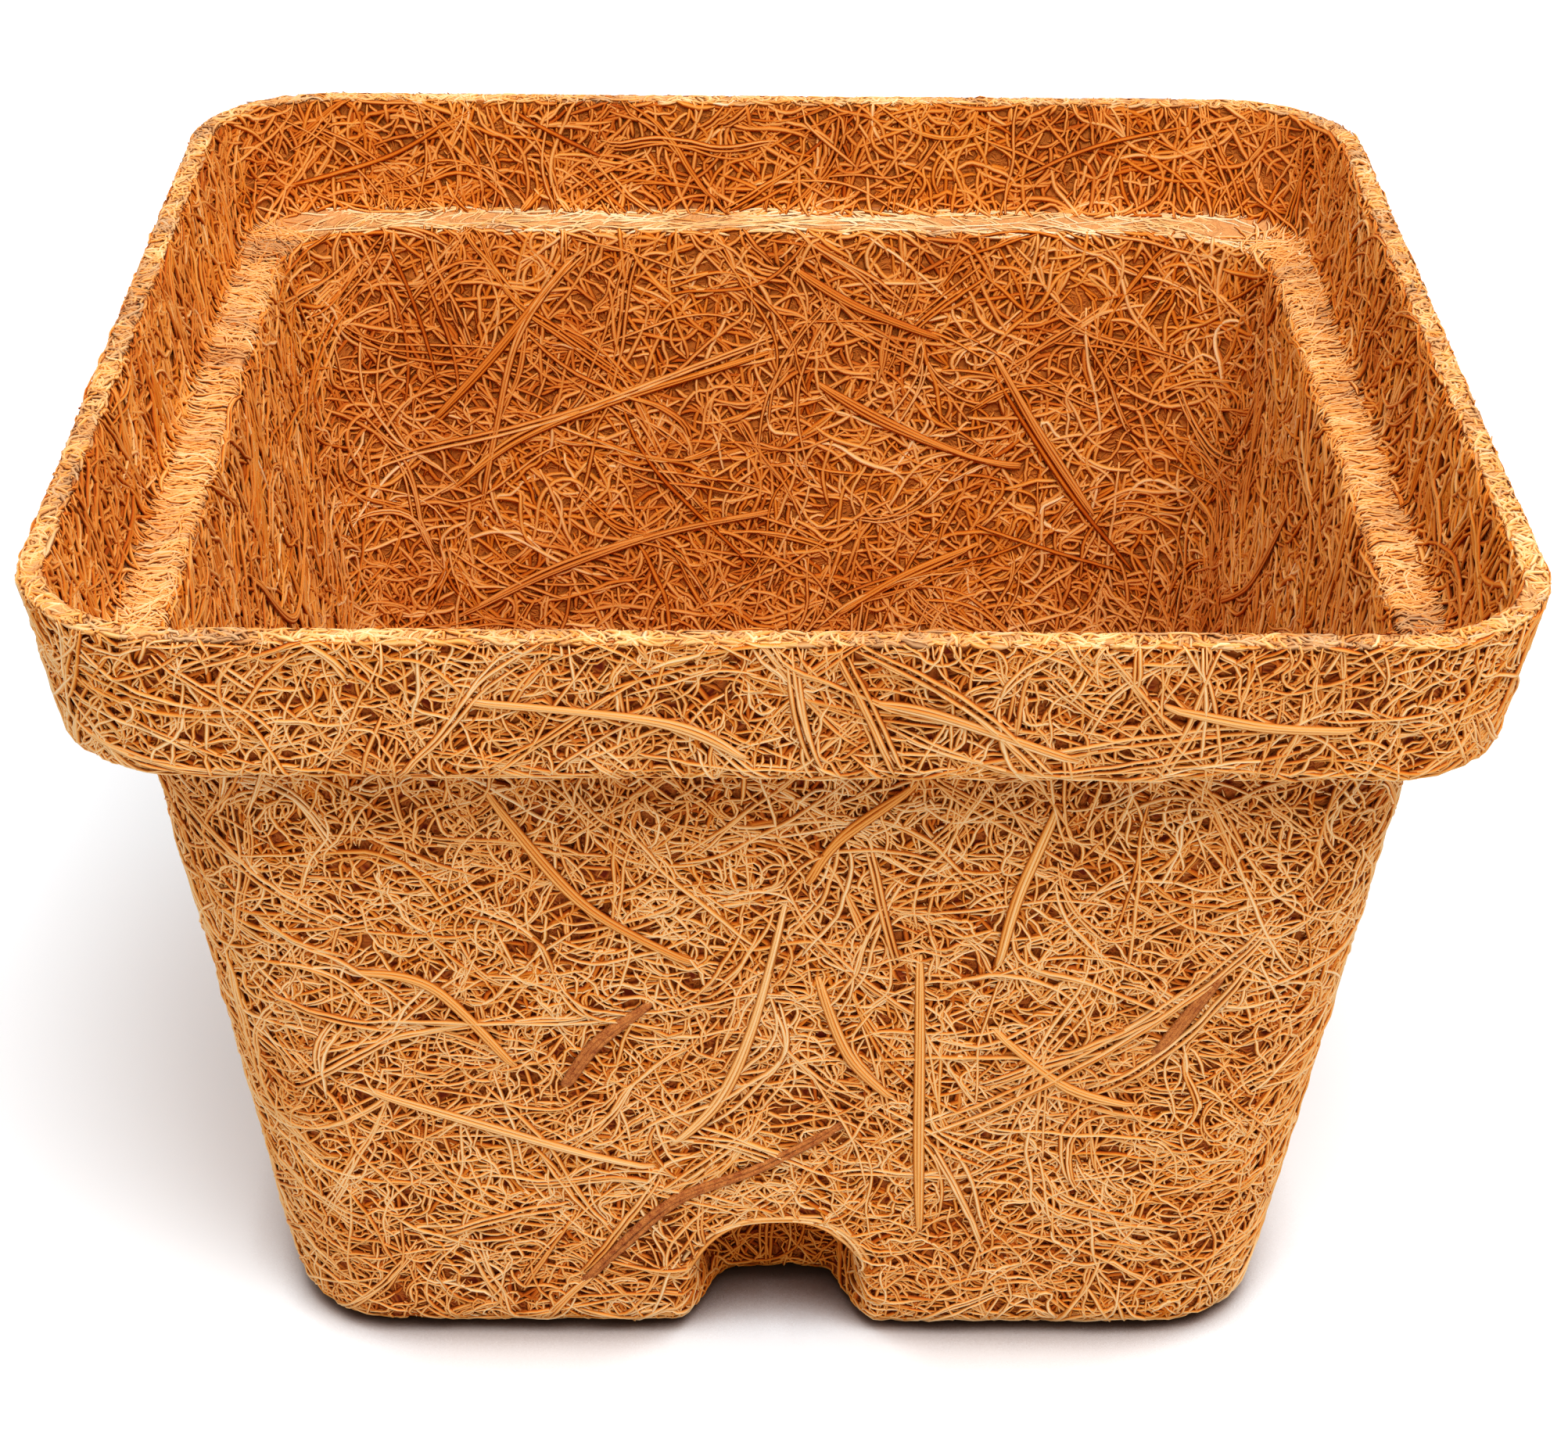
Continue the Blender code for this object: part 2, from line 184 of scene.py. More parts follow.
def turned(x: Array | float, y: Array | float, turns: int) -> tuple:
    """A place turned by quarters round the pot's middle."""
    for _ in range(turns):
        x, y = -y, x
    return x, y


def random_waves(rng: Rng, count: int, shortest: float, longest: float) -> tuple[Array, Array]:
    """Directions and starts of waves between two lengths, for what varies without a pattern."""
    waves = rng.normal(0.0, 1.0, (count, 3))
    waves *= (2 * np.pi / rng.uniform(shortest, longest, count) / np.linalg.norm(waves, axis=1))[:, None]
    return waves, rng.random(count) * 2 * np.pi


class Skin(Enum):
    """The felt's two faces, each with the offset from the outer face in felt thicknesses."""

    OUTER = 0
    INNER = 1


class Region(Enum):
    """Stretches of the felt's skin, in the order in which its section runs."""

    BASE = 0
    WALL = 1
    SHOULDER = 2
    COLLAR = 3
    RIM = 4
    COLLAR_INSIDE = 5
    LEDGE = 6
    INSIDE = 7
    FLOOR = 8


@dataclass
class PotForm:
    """The pressed pot's sizes in metres, as on the part, and the points of its skin."""

    height: float
    rim_half: float
    rim_corner: float = 11.3 * MM
    collar_height: float = 11.5 * MM
    collar_draft: float = 2.2 * MM
    shoulder_step: float = 3.7 * MM
    body_corner: float = 10.4 * MM
    body_taper: float = 7.5 * MM
    foot_corner: float = 8.5 * MM
    wall: float = 1.9 * MM
    foot_rounding: float = 2.2 * MM
    shoulder_fillet: float = 0.8 * MM
    collar_rounding: float = 1.0 * MM
    rim_rounding: float = 0.35 * MM
    ledge_fillet: float = 1.5 * MM
    ledge_rounding: float = 1.0 * MM
    floor_fillet: float = 2.0 * MM
    notch_width: float = 14.4 * MM
    notch_height: float = 11.6 * MM
    notch_depth: float = 6.3 * MM
    notch_lip: float = 1.2 * MM
    notch_flare: float = 5.0 * MM
    notch_squareness: float = 2.5
    notch_narrowing: float = 1.5 * MM
    notch_bow: float = 0.25
    notch_bow_power: float = 2.5
    notch_lip_power: float = 1.3
    notch_foot_spread: float = 0.35

    @property
    def collar_foot_half(self) -> float:
        """Half width of the collar at its lower edge."""
        return self.rim_half - self.collar_draft

    @property
    def body_top_half(self) -> float:
        """Half width of the body under the collar."""
        return self.collar_foot_half - self.shoulder_step

    @property
    def foot_half(self) -> float:
        """Half width of the body at the floor, before its rounding."""
        return self.body_top_half - self.body_taper

    @property
    def shoulder_z(self) -> float:
        """Height of the collar's underside."""
        return self.height - self.collar_height

    @property
    def ledge_z(self) -> float:
        """Height of the inner ledge."""
        return self.shoulder_z + self.wall

    @property
    def collar_flat(self) -> float:
        """Half length of the collar's straight side."""
        return self.rim_half - self.rim_corner

    def body_half(self, z: float) -> float:
        """Half width of the body's outside at a height."""
        return mix(self.foot_half, self.body_top_half, z / self.shoulder_z)

    def body_flat(self, z: float) -> float:
        """Half length of the body's straight side at a height."""
        foot_flat = self.foot_half - self.foot_corner
        return mix(foot_flat, self.body_top_half - self.body_corner, z / self.shoulder_z)

    def collar_half(self, z: float) -> float:
        """Half width of the collar's outside at a height."""
        return mix(self.collar_foot_half, self.rim_half, (z - self.shoulder_z) / self.collar_height)

    def inset(self, z: float, skin: Skin) -> float:
        """How far the rounded foot or floor draws the wall in at a height."""
        rounding = self.floor_fillet if skin is Skin.INNER else self.foot_rounding
        rise = min(max(z - self.wall * skin.value, 0.0), rounding)
        return rounding - math.sqrt(max(rounding ** 2 - (rounding - rise) ** 2, 0.0))

    def dent(self, across: Array, z: float, skin: Skin) -> Array:
        """How deep the drain notch is at points of a side.

        Args:
            across: distances from the side's middle.
            z: their height.
            skin: the face that they are on.

        Returns:
            Shares from 0, the plain wall, to 1, the notch's back.
        """
        offset = self.wall * skin.value
        high = self.notch_height + offset
        low = max(1 - z / high, 0.0)
        spread = self.notch_foot_spread * self.inset(z, skin)
        wide = self.notch_width / 2 + offset + spread - self.notch_narrowing * low
        power = self.notch_squareness
        span = np.maximum(np.abs(across), 0.001 * MM)
        reach = ((span / wide) ** power + (z / high) ** power) ** (1 / power)
        beyond = np.hypot(span, z) * (1 - 1 / reach)
        lip = mix(self.notch_lip, self.notch_flare, low ** 2)
        bow = 1 - self.notch_bow * np.minimum(span / wide, 1.0) ** self.notch_bow_power
        return smooth(np.clip(0.5 - beyond / lip, 0.0, 1.0) ** self.notch_lip_power) * bow

    def side_half(self, z: float, skin: Skin) -> float:
        """Half width of the body's wall on one skin, with its rounded foot."""
        return self.body_half(z) - self.wall * skin.value - self.inset(z, skin)

    def notch_back(self, z: float, skin: Skin) -> float:
        """Distance of the notch's back wall from the pot's middle."""
        return self.foot_half - self.notch_depth - self.wall * skin.value - self.inset(z, skin)


@dataclass
class Level:
    """One level of the skin's section: half width, straight half length, height and where it lies."""

    half: float
    flat: float
    z: float
    region: Region
    skin: Skin
    scale: float = 1.0


@dataclass
class PotSkin:
    """The felt's skin as a fine table of points, with its normals and how it stretches.

    Rows follow the section from the middle of the base, up the outside, over the rim and down the
    inside to the middle of the floor. Columns go round the pot, four sides with a corner each.

    Attributes:
        form: the pot's sizes.
        pitch: distance between rows.
        fine_pitch: the same in roundings and over the notches.
        flat_columns: columns of each side's straight part.
        corner_columns: columns of each corner.
        ledge_from: turn through the ledge's outer rounding where the ledge's own fibres begin.
        ledge_to: turn through its inner rounding where they end.
        rim_turn: turn from row to row over the rim's edges.
        middle_pitch: how close columns lie in a side's middle, as a share of the mean.
        smallest_scale: size of the innermost ring of the base and of the floor.
    """

    form: PotForm
    pitch: float = 0.5 * MM
    fine_pitch: float = 0.28 * MM
    flat_columns: int = 150
    corner_columns: int = 34
    ledge_from: float = 0.8
    ledge_to: float = 0.9
    rim_turn: float = 0.5
    middle_pitch: float = 0.7
    smallest_scale: float = 0.004
    points: Array = field(init=False)
    normals: Array = field(init=False)
    along: Array = field(init=False)
    around: Array = field(init=False)
    regions: Array = field(init=False)
    areas: Array = field(init=False)

    def __post_init__(self) -> None:
        """Works the tables out."""
        levels = self.levels()
        self.regions = np.array([level.region.value for level in levels])
        self.points = np.stack([self.ring(level) for level in levels])
        self.along = np.gradient(self.points, axis=0)
        ahead = np.roll(self.points, -1, axis=1)
        behind = np.roll(self.points, 1, axis=1)
        self.around = (ahead - behind) / 2
        cross = np.cross(self.around, self.along)
        self.areas = np.linalg.norm(cross, axis=2)
        self.normals = cross / np.maximum(self.areas, 1e-15)[..., None]

    @property
    def columns(self) -> int:
        """Columns all the way round."""
        return 4 * (self.flat_columns + self.corner_columns)

    def spaced(self, low: float, high: float, pitch: float) -> Array:
        """Values from low up to, but without, high, about a pitch apart."""
        count = max(int(round(abs(high - low) / pitch)), 2)
        return low + (high - low) * np.arange(count) / count

    def quarter(self, radius: float) -> Array:
        """Turns through a rounding, from 0 up to, but without, a quarter."""
        return self.spaced(0.0, math.pi / 2, self.fine_pitch / radius)

    def rows_of(self, region: Region) -> Array:
        """Rows of a region, in order."""
        return np.nonzero(self.regions == region.value)[0]

    def columns_of(self, side: str) -> Array:
        """Columns of a side, with half of the corner at each end."""
        wide = self.flat_columns + self.corner_columns
        first = SIDES.index(side) * wide - self.corner_columns // 2
        return np.arange(first, first + wide) % self.columns

    def levels(self) -> list[Level]:
        """Every level of the section, in order."""
        up = self.disc_levels(Region.BASE, Skin.OUTER) + self.body_levels(Region.WALL, Skin.OUTER)
        down = self.disc_levels(Region.FLOOR, Skin.INNER) + self.body_levels(Region.INSIDE, Skin.INNER)
        return up + self.collar_levels() + down[::-1]

    def disc_levels(self, region: Region, skin: Skin) -> list[Level]:
        """Levels of the base or of the floor, from the middle outwards."""
        z = self.form.wall * skin.value
        half = self.form.side_half(z, skin)
        scales = np.maximum(self.spaced(0.0, 1.0, self.pitch / half), self.smallest_scale)
        return [Level(half, self.form.body_flat(z), z, region, skin, scale) for scale in scales]

    def body_levels(self, region: Region, skin: Skin) -> list[Level]:
        """Levels of the body's wall on one skin, upwards."""
        form = self.form
        return [Level(form.side_half(z, skin), form.body_flat(z), z, region, skin)
                for z in self.heights(skin)]

    def heights(self, skin: Skin) -> Array:
        """Heights of the body's rows on one skin, closer in the rounding and over the notch."""
        form = self.form
        floor = form.wall * skin.value
        rounding = form.floor_fillet if skin is Skin.INNER else form.foot_rounding
        top = form.ledge_z - form.ledge_rounding
        if skin is Skin.OUTER:
            top = form.shoulder_z - form.shoulder_fillet
        turns = self.quarter(rounding)
        low = floor + rounding
        arch = form.notch_height + form.notch_lip + floor
        curve = floor + rounding * (1 - np.cos(turns))
        notched, plain = self.spaced(low, arch, self.fine_pitch), self.spaced(arch, top, self.pitch)
        return np.concatenate([curve, notched, plain])

    def collar_levels(self) -> list[Level]:
        """Levels of the shoulder, the collar, its rim and the ledge inside."""
        form = self.form
        out, inn = Skin.OUTER, Skin.INNER
        body_flat = form.body_top_half - form.body_corner
        rows = []
        low = form.shoulder_z - form.shoulder_fillet
        start = form.body_half(low)
        for turn in self.quarter(form.shoulder_fillet):
            half = start + form.shoulder_fillet * (1 - math.cos(turn))
            z = low + form.shoulder_fillet * math.sin(turn)
            rows.append(Level(half, body_flat, z, Region.SHOULDER, out))
        high = form.shoulder_z + form.collar_rounding
        near, far = start + form.shoulder_fillet, form.collar_half(high) - form.collar_rounding
        for share in self.spaced(0.0, 1.0, self.fine_pitch / (far - near)):
            flat = mix(body_flat, form.collar_flat, share)
            rows.append(Level(mix(near, far, share), flat, form.shoulder_z, Region.SHOULDER, out))
        for turn in self.quarter(form.collar_rounding):
            half = far + form.collar_rounding * math.sin(turn)
            z = high - form.collar_rounding * math.cos(turn)
            rows.append(Level(half, form.collar_flat, z, Region.COLLAR, out))
        edge = form.height - form.rim_rounding
        for z in self.spaced(high, edge, self.pitch):
            rows.append(Level(form.collar_half(z), form.collar_flat, z, Region.COLLAR, out))
        rows += self.rim_levels(edge)
        base = form.ledge_z + form.ledge_fillet
        for z in self.spaced(edge, base, self.pitch):
            half = form.collar_half(z) - form.wall
            rows.append(Level(half, form.collar_flat, z, Region.COLLAR_INSIDE, inn))
        middle = form.collar_half(base) - form.wall - form.ledge_fillet
        for turn in self.quarter(form.ledge_fillet):
            half = middle + form.ledge_fillet * math.cos(turn)
            z = base - form.ledge_fillet * math.sin(turn)
            region = Region.COLLAR_INSIDE if turn < self.ledge_from else Region.LEDGE
            rows.append(Level(half, form.collar_flat, z, region, inn))
        lip = form.ledge_z - form.ledge_rounding
        nose = form.body_half(lip) - form.wall + form.ledge_rounding
        for share in self.spaced(0.0, 1.0, self.fine_pitch / (middle - nose)):
            flat = mix(form.collar_flat, body_flat, share)
            rows.append(Level(mix(middle, nose, share), flat, form.ledge_z, Region.LEDGE, inn))
        for turn in self.quarter(form.ledge_rounding):
            half = nose - form.ledge_rounding * math.sin(turn)
            z = lip + form.ledge_rounding * math.cos(turn)
            region = Region.LEDGE if turn < self.ledge_to else Region.INSIDE
            rows.append(Level(half, body_flat, z, region, inn))
        return rows

    def rim_levels(self, edge: float) -> list[Level]:
        """Levels over the rim, rounded at both edges."""
        form = self.form
        rounding = form.rim_rounding
        rows = []
        for turn in self.spaced(0.0, math.pi / 2, self.rim_turn):
            half = form.rim_half - rounding * (1 - math.cos(turn))
            z = edge + rounding * math.sin(turn)
            rows.append(Level(half, form.collar_flat, z, Region.RIM, Skin.OUTER))
        outer, inner = form.rim_half - rounding, form.rim_half - form.wall + rounding
        for half in self.spaced(outer, inner, self.fine_pitch):
            rows.append(Level(half, form.collar_flat, form.height, Region.RIM, Skin.OUTER))
        for turn in self.spaced(0.0, math.pi / 2, self.rim_turn):
            half = inner - rounding * math.sin(turn)
            z = edge + rounding * math.cos(turn)
            rows.append(Level(half, form.collar_flat, z, Region.RIM, Skin.INNER))
        return rows

    def ring(self, level: Level) -> Array:
        """Points of one level, all the way round."""
        form = self.form
        share = 2 * np.arange(self.flat_columns) / self.flat_columns - 1
        across = level.flat * share * (self.middle_pitch + (1 - self.middle_pitch) * share ** 2)
        out = np.full(self.flat_columns, level.half)
        if level.region in (Region.BASE, Region.WALL, Region.INSIDE, Region.FLOOR):
            depth = form.dent(across, level.z, level.skin)
            out += (form.notch_back(level.z, level.skin) - level.half) * depth
        turn = math.pi / 2 * np.arange(self.corner_columns) / self.corner_columns
        corner = level.half - level.flat
        u = np.concatenate([across, level.flat + corner * np.sin(turn)]) * level.scale
        v = np.concatenate([out, level.flat + corner * np.cos(turn)]) * level.scale
        z = np.full(len(u), level.z)
        return np.concatenate([np.stack([*turned(u, -v, turns), z], 1) for turns in range(len(SIDES))])

    def sample(self, table: Array, row: Array, column: Array) -> Array:
        """Reads a table between its points.

        Args:
            table: one of this skin's tables.
            row: places along the section, in rows.
            column: places round the pot, in columns.

        Returns:
            The blended values, one for each place.
        """
        top = len(table) - 1
        r0 = np.clip(np.floor(row).astype(int), 0, top - 1)
        c0 = np.floor(column).astype(int)
        fr = np.clip(row - r0, 0.0, 1.0)[:, None]
        fc = (column - c0)[:, None]
        wide = table.shape[1]
        c0, c1 = c0 % wide, (c0 + 1) % wide
        near = table[r0, c0] * (1 - fc) + table[r0, c1] * fc
        far = table[r0 + 1, c0] * (1 - fc) + table[r0 + 1, c1] * fc
        return near * (1 - fr) + far * fr


@dataclass
class Family:
    """A kind of fibre in the felt.

    Attributes:
        cover: how many times the fibres would cover the skin.
        length: shortest and longest, in metres.
        width: thinnest and thickest, in metres.
        lift: lowest and highest, off the pressed face.
        curl: how fast they bend all along, and how fast at random, in radians for each metre.
        calm: length over which a random bend lasts.
        hold: length over which a fibre comes back to its course.
        sway: height of their waves over and under each other.
        dive: how deep their ends go into the felt.
        flat: how high they stand, as a share of their width.
        edge: painted shade, how much darker their edges are painted than their ridge, as the flanks of a
            round fibre fall in shade.
        step: length of a straight stretch of the mesh.
        tone: darkest and lightest, 0 to 1; the lowest fibres are painted the darkest, a painted shade of the
            fibres over them.
        hue: range of the fibre's kind, 0 orange, 0.5 tan, 1 grey.
        crowd: most fibres in a bundle.
        comb: direction that they lean to, in radians from up the section, or None.
        stray: spread about that direction, in radians.
        fills: whether they only lie where the felt is still bare.
    """

    cover: float
    length: Span
    width: Span = (0.28 * MM, 0.42 * MM)
    lift: Span = (-0.2 * MM, 0.0)
    curl: Span = (150.0, 850.0)
    calm: float = 0.9 * MM
    hold: float = 2.0 * MM
    sway: float = 0.06 * MM
    dive: float = 0.16 * MM
    flat: float = 0.5
    edge: float = 0.62
    step: float = 0.5 * MM
    tone: Span = (0.4, 0.8)
    hue: Span = (0.3, 0.6)
    crowd: int = 1
    comb: float | None = None
    stray: float = 0.5
    fills: bool = False


@dataclass
class Starts:
    """Where fibres start on the skin, and what each is like; lead numbers the bundle that it is in."""

    row: Array
    column: Array
    heading: Array
    length: Array
    width: Array
    lift: Array
    tone: Array
    hue: Array
    curl: Array
    lead: Array


@dataclass
class Strands:
    """Paths of many fibres at once, one row for each fibre; edge is how much darker their edges are painted,
    a painted shade on their flanks.
    """

    points: Array
    normals: Array
    headings: Array
    counts: Array
    widths: Array
    depths: Array
    tones: Array
    hues: Array
    edge: float


@dataclass
class Weaver:
    """Lays fibres on the pot's skin and turns them into meshes.

    Attributes:
        skin: where they lie.
        foot_lift: how far they are drawn in at the foot, to stay off the floor.
        notch_painted_shade: painted shade, how much darker they are painted deep in a notch.
        notch_painted_shade_from: depth where that begins.
        notch_painted_shade_over: depth over which it grows.
        fewest: fewest rings of a fibre that is kept.
        swing: shortest and longest wave of a fibre over and under the others.
        end_share: 1 over the share of its length in which an end dives into the felt.
        edge_rows: rows from the region's edge within which ends don't dive.
        waver: how much the tone changes from ring to ring.
        dull_tone: how much darker dull patches are.
        dull_hue: how much greyer they are.
        notch_painted_shade_hue: how much redder fibres are painted deep in a notch, with the same painted
            shade.
        tip: width of a fibre's ends, as a share.
        lowest: least height of any fibre above the floor.
    """

    skin: PotSkin
    foot_lift: float = 0.3 * MM
    notch_painted_shade: float = 0.2
    notch_painted_shade_from: float = 1.2 * MM
    notch_painted_shade_over: float = 3 * MM
    fewest: int = 3
    swing: Span = (2.0 * MM, 5.0 * MM)
    end_share: int = 7
    edge_rows: int = 5
    waver: float = 0.018
    dull_tone: float = 0.07
    dull_hue: float = 0.1
    notch_painted_shade_hue: float = 0.3
    tip: float = 0.45
    lowest: float = 0.01 * MM
    waves: Array = field(init=False)
    starts: Array = field(init=False)
    laid: Array = field(init=False)

    def __post_init__(self) -> None:
        """Sets the waves that make the felt's duller patches, and how much of each place is covered."""
        self.laid = np.zeros(self.skin.areas.shape)
        rng = np.random.default_rng(PATCH_SEED)
        self.waves, self.starts = random_waves(rng, 10, 7 * MM, 24 * MM)

    def dullness(self, points: Array) -> Array:
        """How dull and grey the felt is at points, mostly -1 to 1."""
        swell = np.sin(points @ self.waves.T + self.starts).sum(axis=-1)
        return np.clip(swell / math.sqrt(len(self.waves) / 2), -1.5, 1.5)

    def sunk(self, rows: Array, points: Array) -> Array:
        """How deep points lie in a drain notch, 0 to 1, which sets how much painted shade the fibres get
        there.
        """
        form = self.skin.form
        sides = np.sort(np.abs(points[..., :2]), axis=-1)
        depth = form.body_half(points[..., 2]) - sides[..., 1]
        outer = rows < self.skin.rows_of(Region.SHOULDER)[0]
        there = outer & (sides[..., 0] < form.notch_width * 0.7) & (points[..., 2] < form.notch_height)
        return np.where(there, np.clip((depth - self.notch_painted_shade_from) / self.notch_painted_shade_over, 0.0, 1.0), 0.0)

    def bareness(self) -> Array:
        """How bare the felt still is, 0 to 1 for each place of the skin's table."""
        cover = self.laid / np.maximum(self.skin.areas, 1e-12)
        for axis in (0, 1):
            cover = (np.roll(cover, -1, axis) + cover + np.roll(cover, 1, axis)) / 3
        return np.clip(1 - cover, 0.0, 1.0)

    def lay(self, family: Family, allowed: Array, seeds: Array, rng: Rng) -> Strands:
        """Grows one family's fibres.

        Args:
            family: what they are like.
            allowed: for each row of the skin, whether they may run there.
            seeds: for each place of the skin's table, whether they may start there.
            rng: where the chances come from.

        Returns:
            Their paths.
        """
        mean_length = sum(family.length) / 2
        mean_width = sum(family.width) / 2
        members = (1 + family.crowd) / 2
        thick = family.cover / (mean_length * mean_width * members)
        if family.fills:
            seeds = seeds * self.bareness()
        row, column, turn, left = self.spots(family, allowed, seeds, thick, rng)
        total = len(row)
        length = rng.uniform(*family.length, total) * left
        curl = rng.normal(0.0, family.curl[0], total)
        hue = rng.uniform(*family.hue, total)
        height = rng.random(total)
        lift = family.lift[0] + (family.lift[1] - family.lift[0]) * height
        # painted shade: the lower a fibre lies, the darker it is made
        tone = 0.6 * height + 0.4 * rng.random(total)
        tone = family.tone[0] + (family.tone[1] - family.tone[0]) * tone

        crowd = rng.integers(1, family.crowd + 1, total)
        lead = np.repeat(np.arange(total), crowd)
        count = len(lead)
        place = np.concatenate([np.arange(n) - (n - 1) / 2 for n in crowd])
        gap = mean_width * rng.uniform(0.55, 0.95, total)[lead]
        spread = rng.normal(0.0, 0.045, total)[lead] * place / np.maximum(crowd[lead], 1) * 2
        single = crowd[lead] == 1
        own = rng.normal(0.0, 1.0, (count, 3))
        normal, heading = self.heading(row[lead], column[lead], turn[lead] + spread)
        shift = np.cross(normal, heading) * (place * gap)[:, None]
        shift += heading * (rng.uniform(-1.0, 1.0, count) * np.where(single, 0.0, 1.5 * MM))[:, None]
        if family.fills:
            shift -= heading * (length[lead] / 2)[:, None]
        row, column = self.moved(row[lead], column[lead], shift)
        rows = np.nonzero(allowed)[0]
        starts = Starts(
            row=np.clip(row, rows[0], rows[-1]), column=column, heading=heading,
            length=length[lead] * np.where(single, 1.0, rng.uniform(0.75, 1.1, count)),
            width=rng.uniform(*family.width, count),
            lift=lift[lead] + np.where(single, 0.0, own[:, 2] * 0.025 * MM),
            tone=tone[lead] + own[:, 0] * 0.06, hue=hue[lead] + own[:, 1] * 0.03,
            curl=curl[lead] + rng.normal(0.0, family.curl[0] * 0.3, count), lead=lead)
        return self.walk(family, allowed, starts, rng)

    def spots(self, family: Family, allowed: Array, seeds: Array, thick: float,
              rng: Rng) -> tuple[Array, Array, Array, Array]:
        """Chooses where fibres start: evenly over the skin, and where they come in over a trimmed edge.

        Args:
            family: what the fibres are like.
            allowed: for each row of the skin, whether they may run there.
            seeds: for each place of the skin's table, whether they may start there.
            thick: fibres for each square metre.
            rng: where the chances come from.

        Returns:
            Rows, columns, turns from up the section, and the share of its length that each has left.
        """
        skin = self.skin
        weight = skin.areas * seeds
        total = max(int(thick * weight.sum()), 1)
        evenly = (np.arange(total) + rng.random(total)) / total
        chosen = np.searchsorted(np.cumsum(weight.ravel()), evenly * weight.sum())
        row, column = np.divmod(np.minimum(chosen, weight.size - 1), weight.shape[1])
        rows, columns = [row + rng.random(total) - 0.5], [column + rng.random(total)]
        turns, left = [self.turns(family, total, rng)], [np.ones(total)]
        last = len(allowed) - 1
        for edge, inward in ((np.nonzero(allowed)[0][0], 1), (np.nonzero(allowed)[0][-1], -1)):
            sown = seeds[max(edge - 3, 0):edge + 4].max(axis=0)
            if edge in (0, last) or not sown.any() or family.fills:
                continue
            weight = np.linalg.norm(skin.around[edge], axis=1) * sown
            number = int(thick * weight.sum() * sum(family.length) / 4)
            place = np.searchsorted(np.cumsum(weight), rng.random(number) * weight.sum())
            turn = self.turns(family, number, rng)
            keep = rng.random(number) < np.abs(np.cos(turn))
            turn = np.where(np.cos(turn) * inward < 0, turn + np.pi, turn)[keep]
            rows.append(np.full(len(turn), edge + 0.3 * inward))
            columns.append(np.minimum(place[keep], len(weight) - 1) + rng.random(len(turn)))
            turns.append(turn)
            left.append(rng.uniform(0.15, 1.0, len(turn)))
        return np.concatenate(rows), np.concatenate(columns), np.concatenate(turns), np.concatenate(left)

    def turns(self, family: Family, count: int, rng: Rng) -> Array:
        """Directions in which fibres start, in radians from up the section."""
        if family.comb is None:
            return rng.random(count) * 2 * np.pi
        return family.comb + rng.normal(0.0, family.stray, count) + np.pi * rng.integers(0, 2, count)

    def heading(self, row: Array, column: Array, turn: Array) -> tuple[Array, Array]:
        """Normals and headings at places, turned from up the section."""
        skin = self.skin
        normal = unit(skin.sample(skin.normals, row, column))
        upward = skin.sample(skin.along, row, column)
        upward = unit(upward - dots(upward, normal)[:, None] * normal)
        sideways = np.cross(normal, upward)
        return normal, upward * np.cos(turn)[:, None] + sideways * np.sin(turn)[:, None]

    def moved(self, row: Array, column: Array, shift: Array) -> tuple[Array, Array]:
        """Rows and columns after a small move along the skin."""
        skin = self.skin
        along = skin.sample(skin.along, row, column)
        around = skin.sample(skin.around, row, column)
        aa, ab, bb = dots(along, along), dots(along, around), dots(around, around)
        da, db = dots(along, shift), dots(around, shift)
        whole = np.maximum(aa * bb - ab * ab, 1e-18)
        row_step = np.clip((da * bb - db * ab) / whole, -6, 6)
        column_step = np.clip((db * aa - da * ab) / whole, -40, 40)
        return row + row_step, column + column_step

    def walk(self, family: Family, allowed: Array, starts: Starts, rng: Rng) -> Strands:
        """Runs every fibre over the skin, a step at a time, until its end or the region's edge.

        Args:
            family: what the fibres are like.
            allowed: for each row of the skin, whether they may run there.
            starts: where each starts and what it is like.
            rng: where the chances come from.

        Returns:
            The paths of the fibres that are long enough.
        """
        skin = self.skin
        step = family.step
        row, column, heading, lead = starts.row, starts.column, starts.heading, starts.lead
        rings = np.maximum(np.round(starts.length / step).astype(int), self.fewest) + 1
        counts = np.zeros(len(row), int)
        alive = np.ones(len(row), bool)
        points, normals, headings, rows = [], [], [], []
        used = np.nonzero(allowed)[0]
        top = len(skin.points) - 1
        lasting = math.exp(-step / family.calm)
        fresh = math.sqrt(1 - lasting ** 2)
        bundles = int(lead.max()) + 1
        covers = starts.width * step * np.clip(2 * starts.tone - 0.6, 0.0, 1.0)
        wild = family.curl[1] * rng.uniform(0.4, 1.6, bundles)
        bend = rng.normal(0.0, 1.0, bundles) * wild
        drift = np.zeros(bundles)
        for number in range(int(rings.max())):
            inside = (row >= 1) & (row <= top - 1)
            alive &= inside & allowed[np.clip(row, 0, top).astype(int)] & (number < rings)
            normal = unit(skin.sample(skin.normals, row, column))
            heading = unit(heading - dots(heading, normal)[:, None] * normal)
            points.append(skin.sample(skin.points, row, column))
            normals.append(normal)
            headings.append(heading)
            rows.append(row)
            counts += alive
            place = row[alive].astype(int), column[alive].astype(int) % skin.columns
            np.add.at(self.laid, place, covers[alive])
            bend = bend * lasting + rng.normal(0.0, fresh, bundles) * wild
            swerve = (bend - drift / family.hold) * step
            drift += swerve
            turn = swerve[lead] + starts.curl * step
            heading = heading * np.cos(turn)[:, None] + np.cross(normal, heading) * np.sin(turn)[:, None]
            row, column = self.moved(row, column, heading * step)
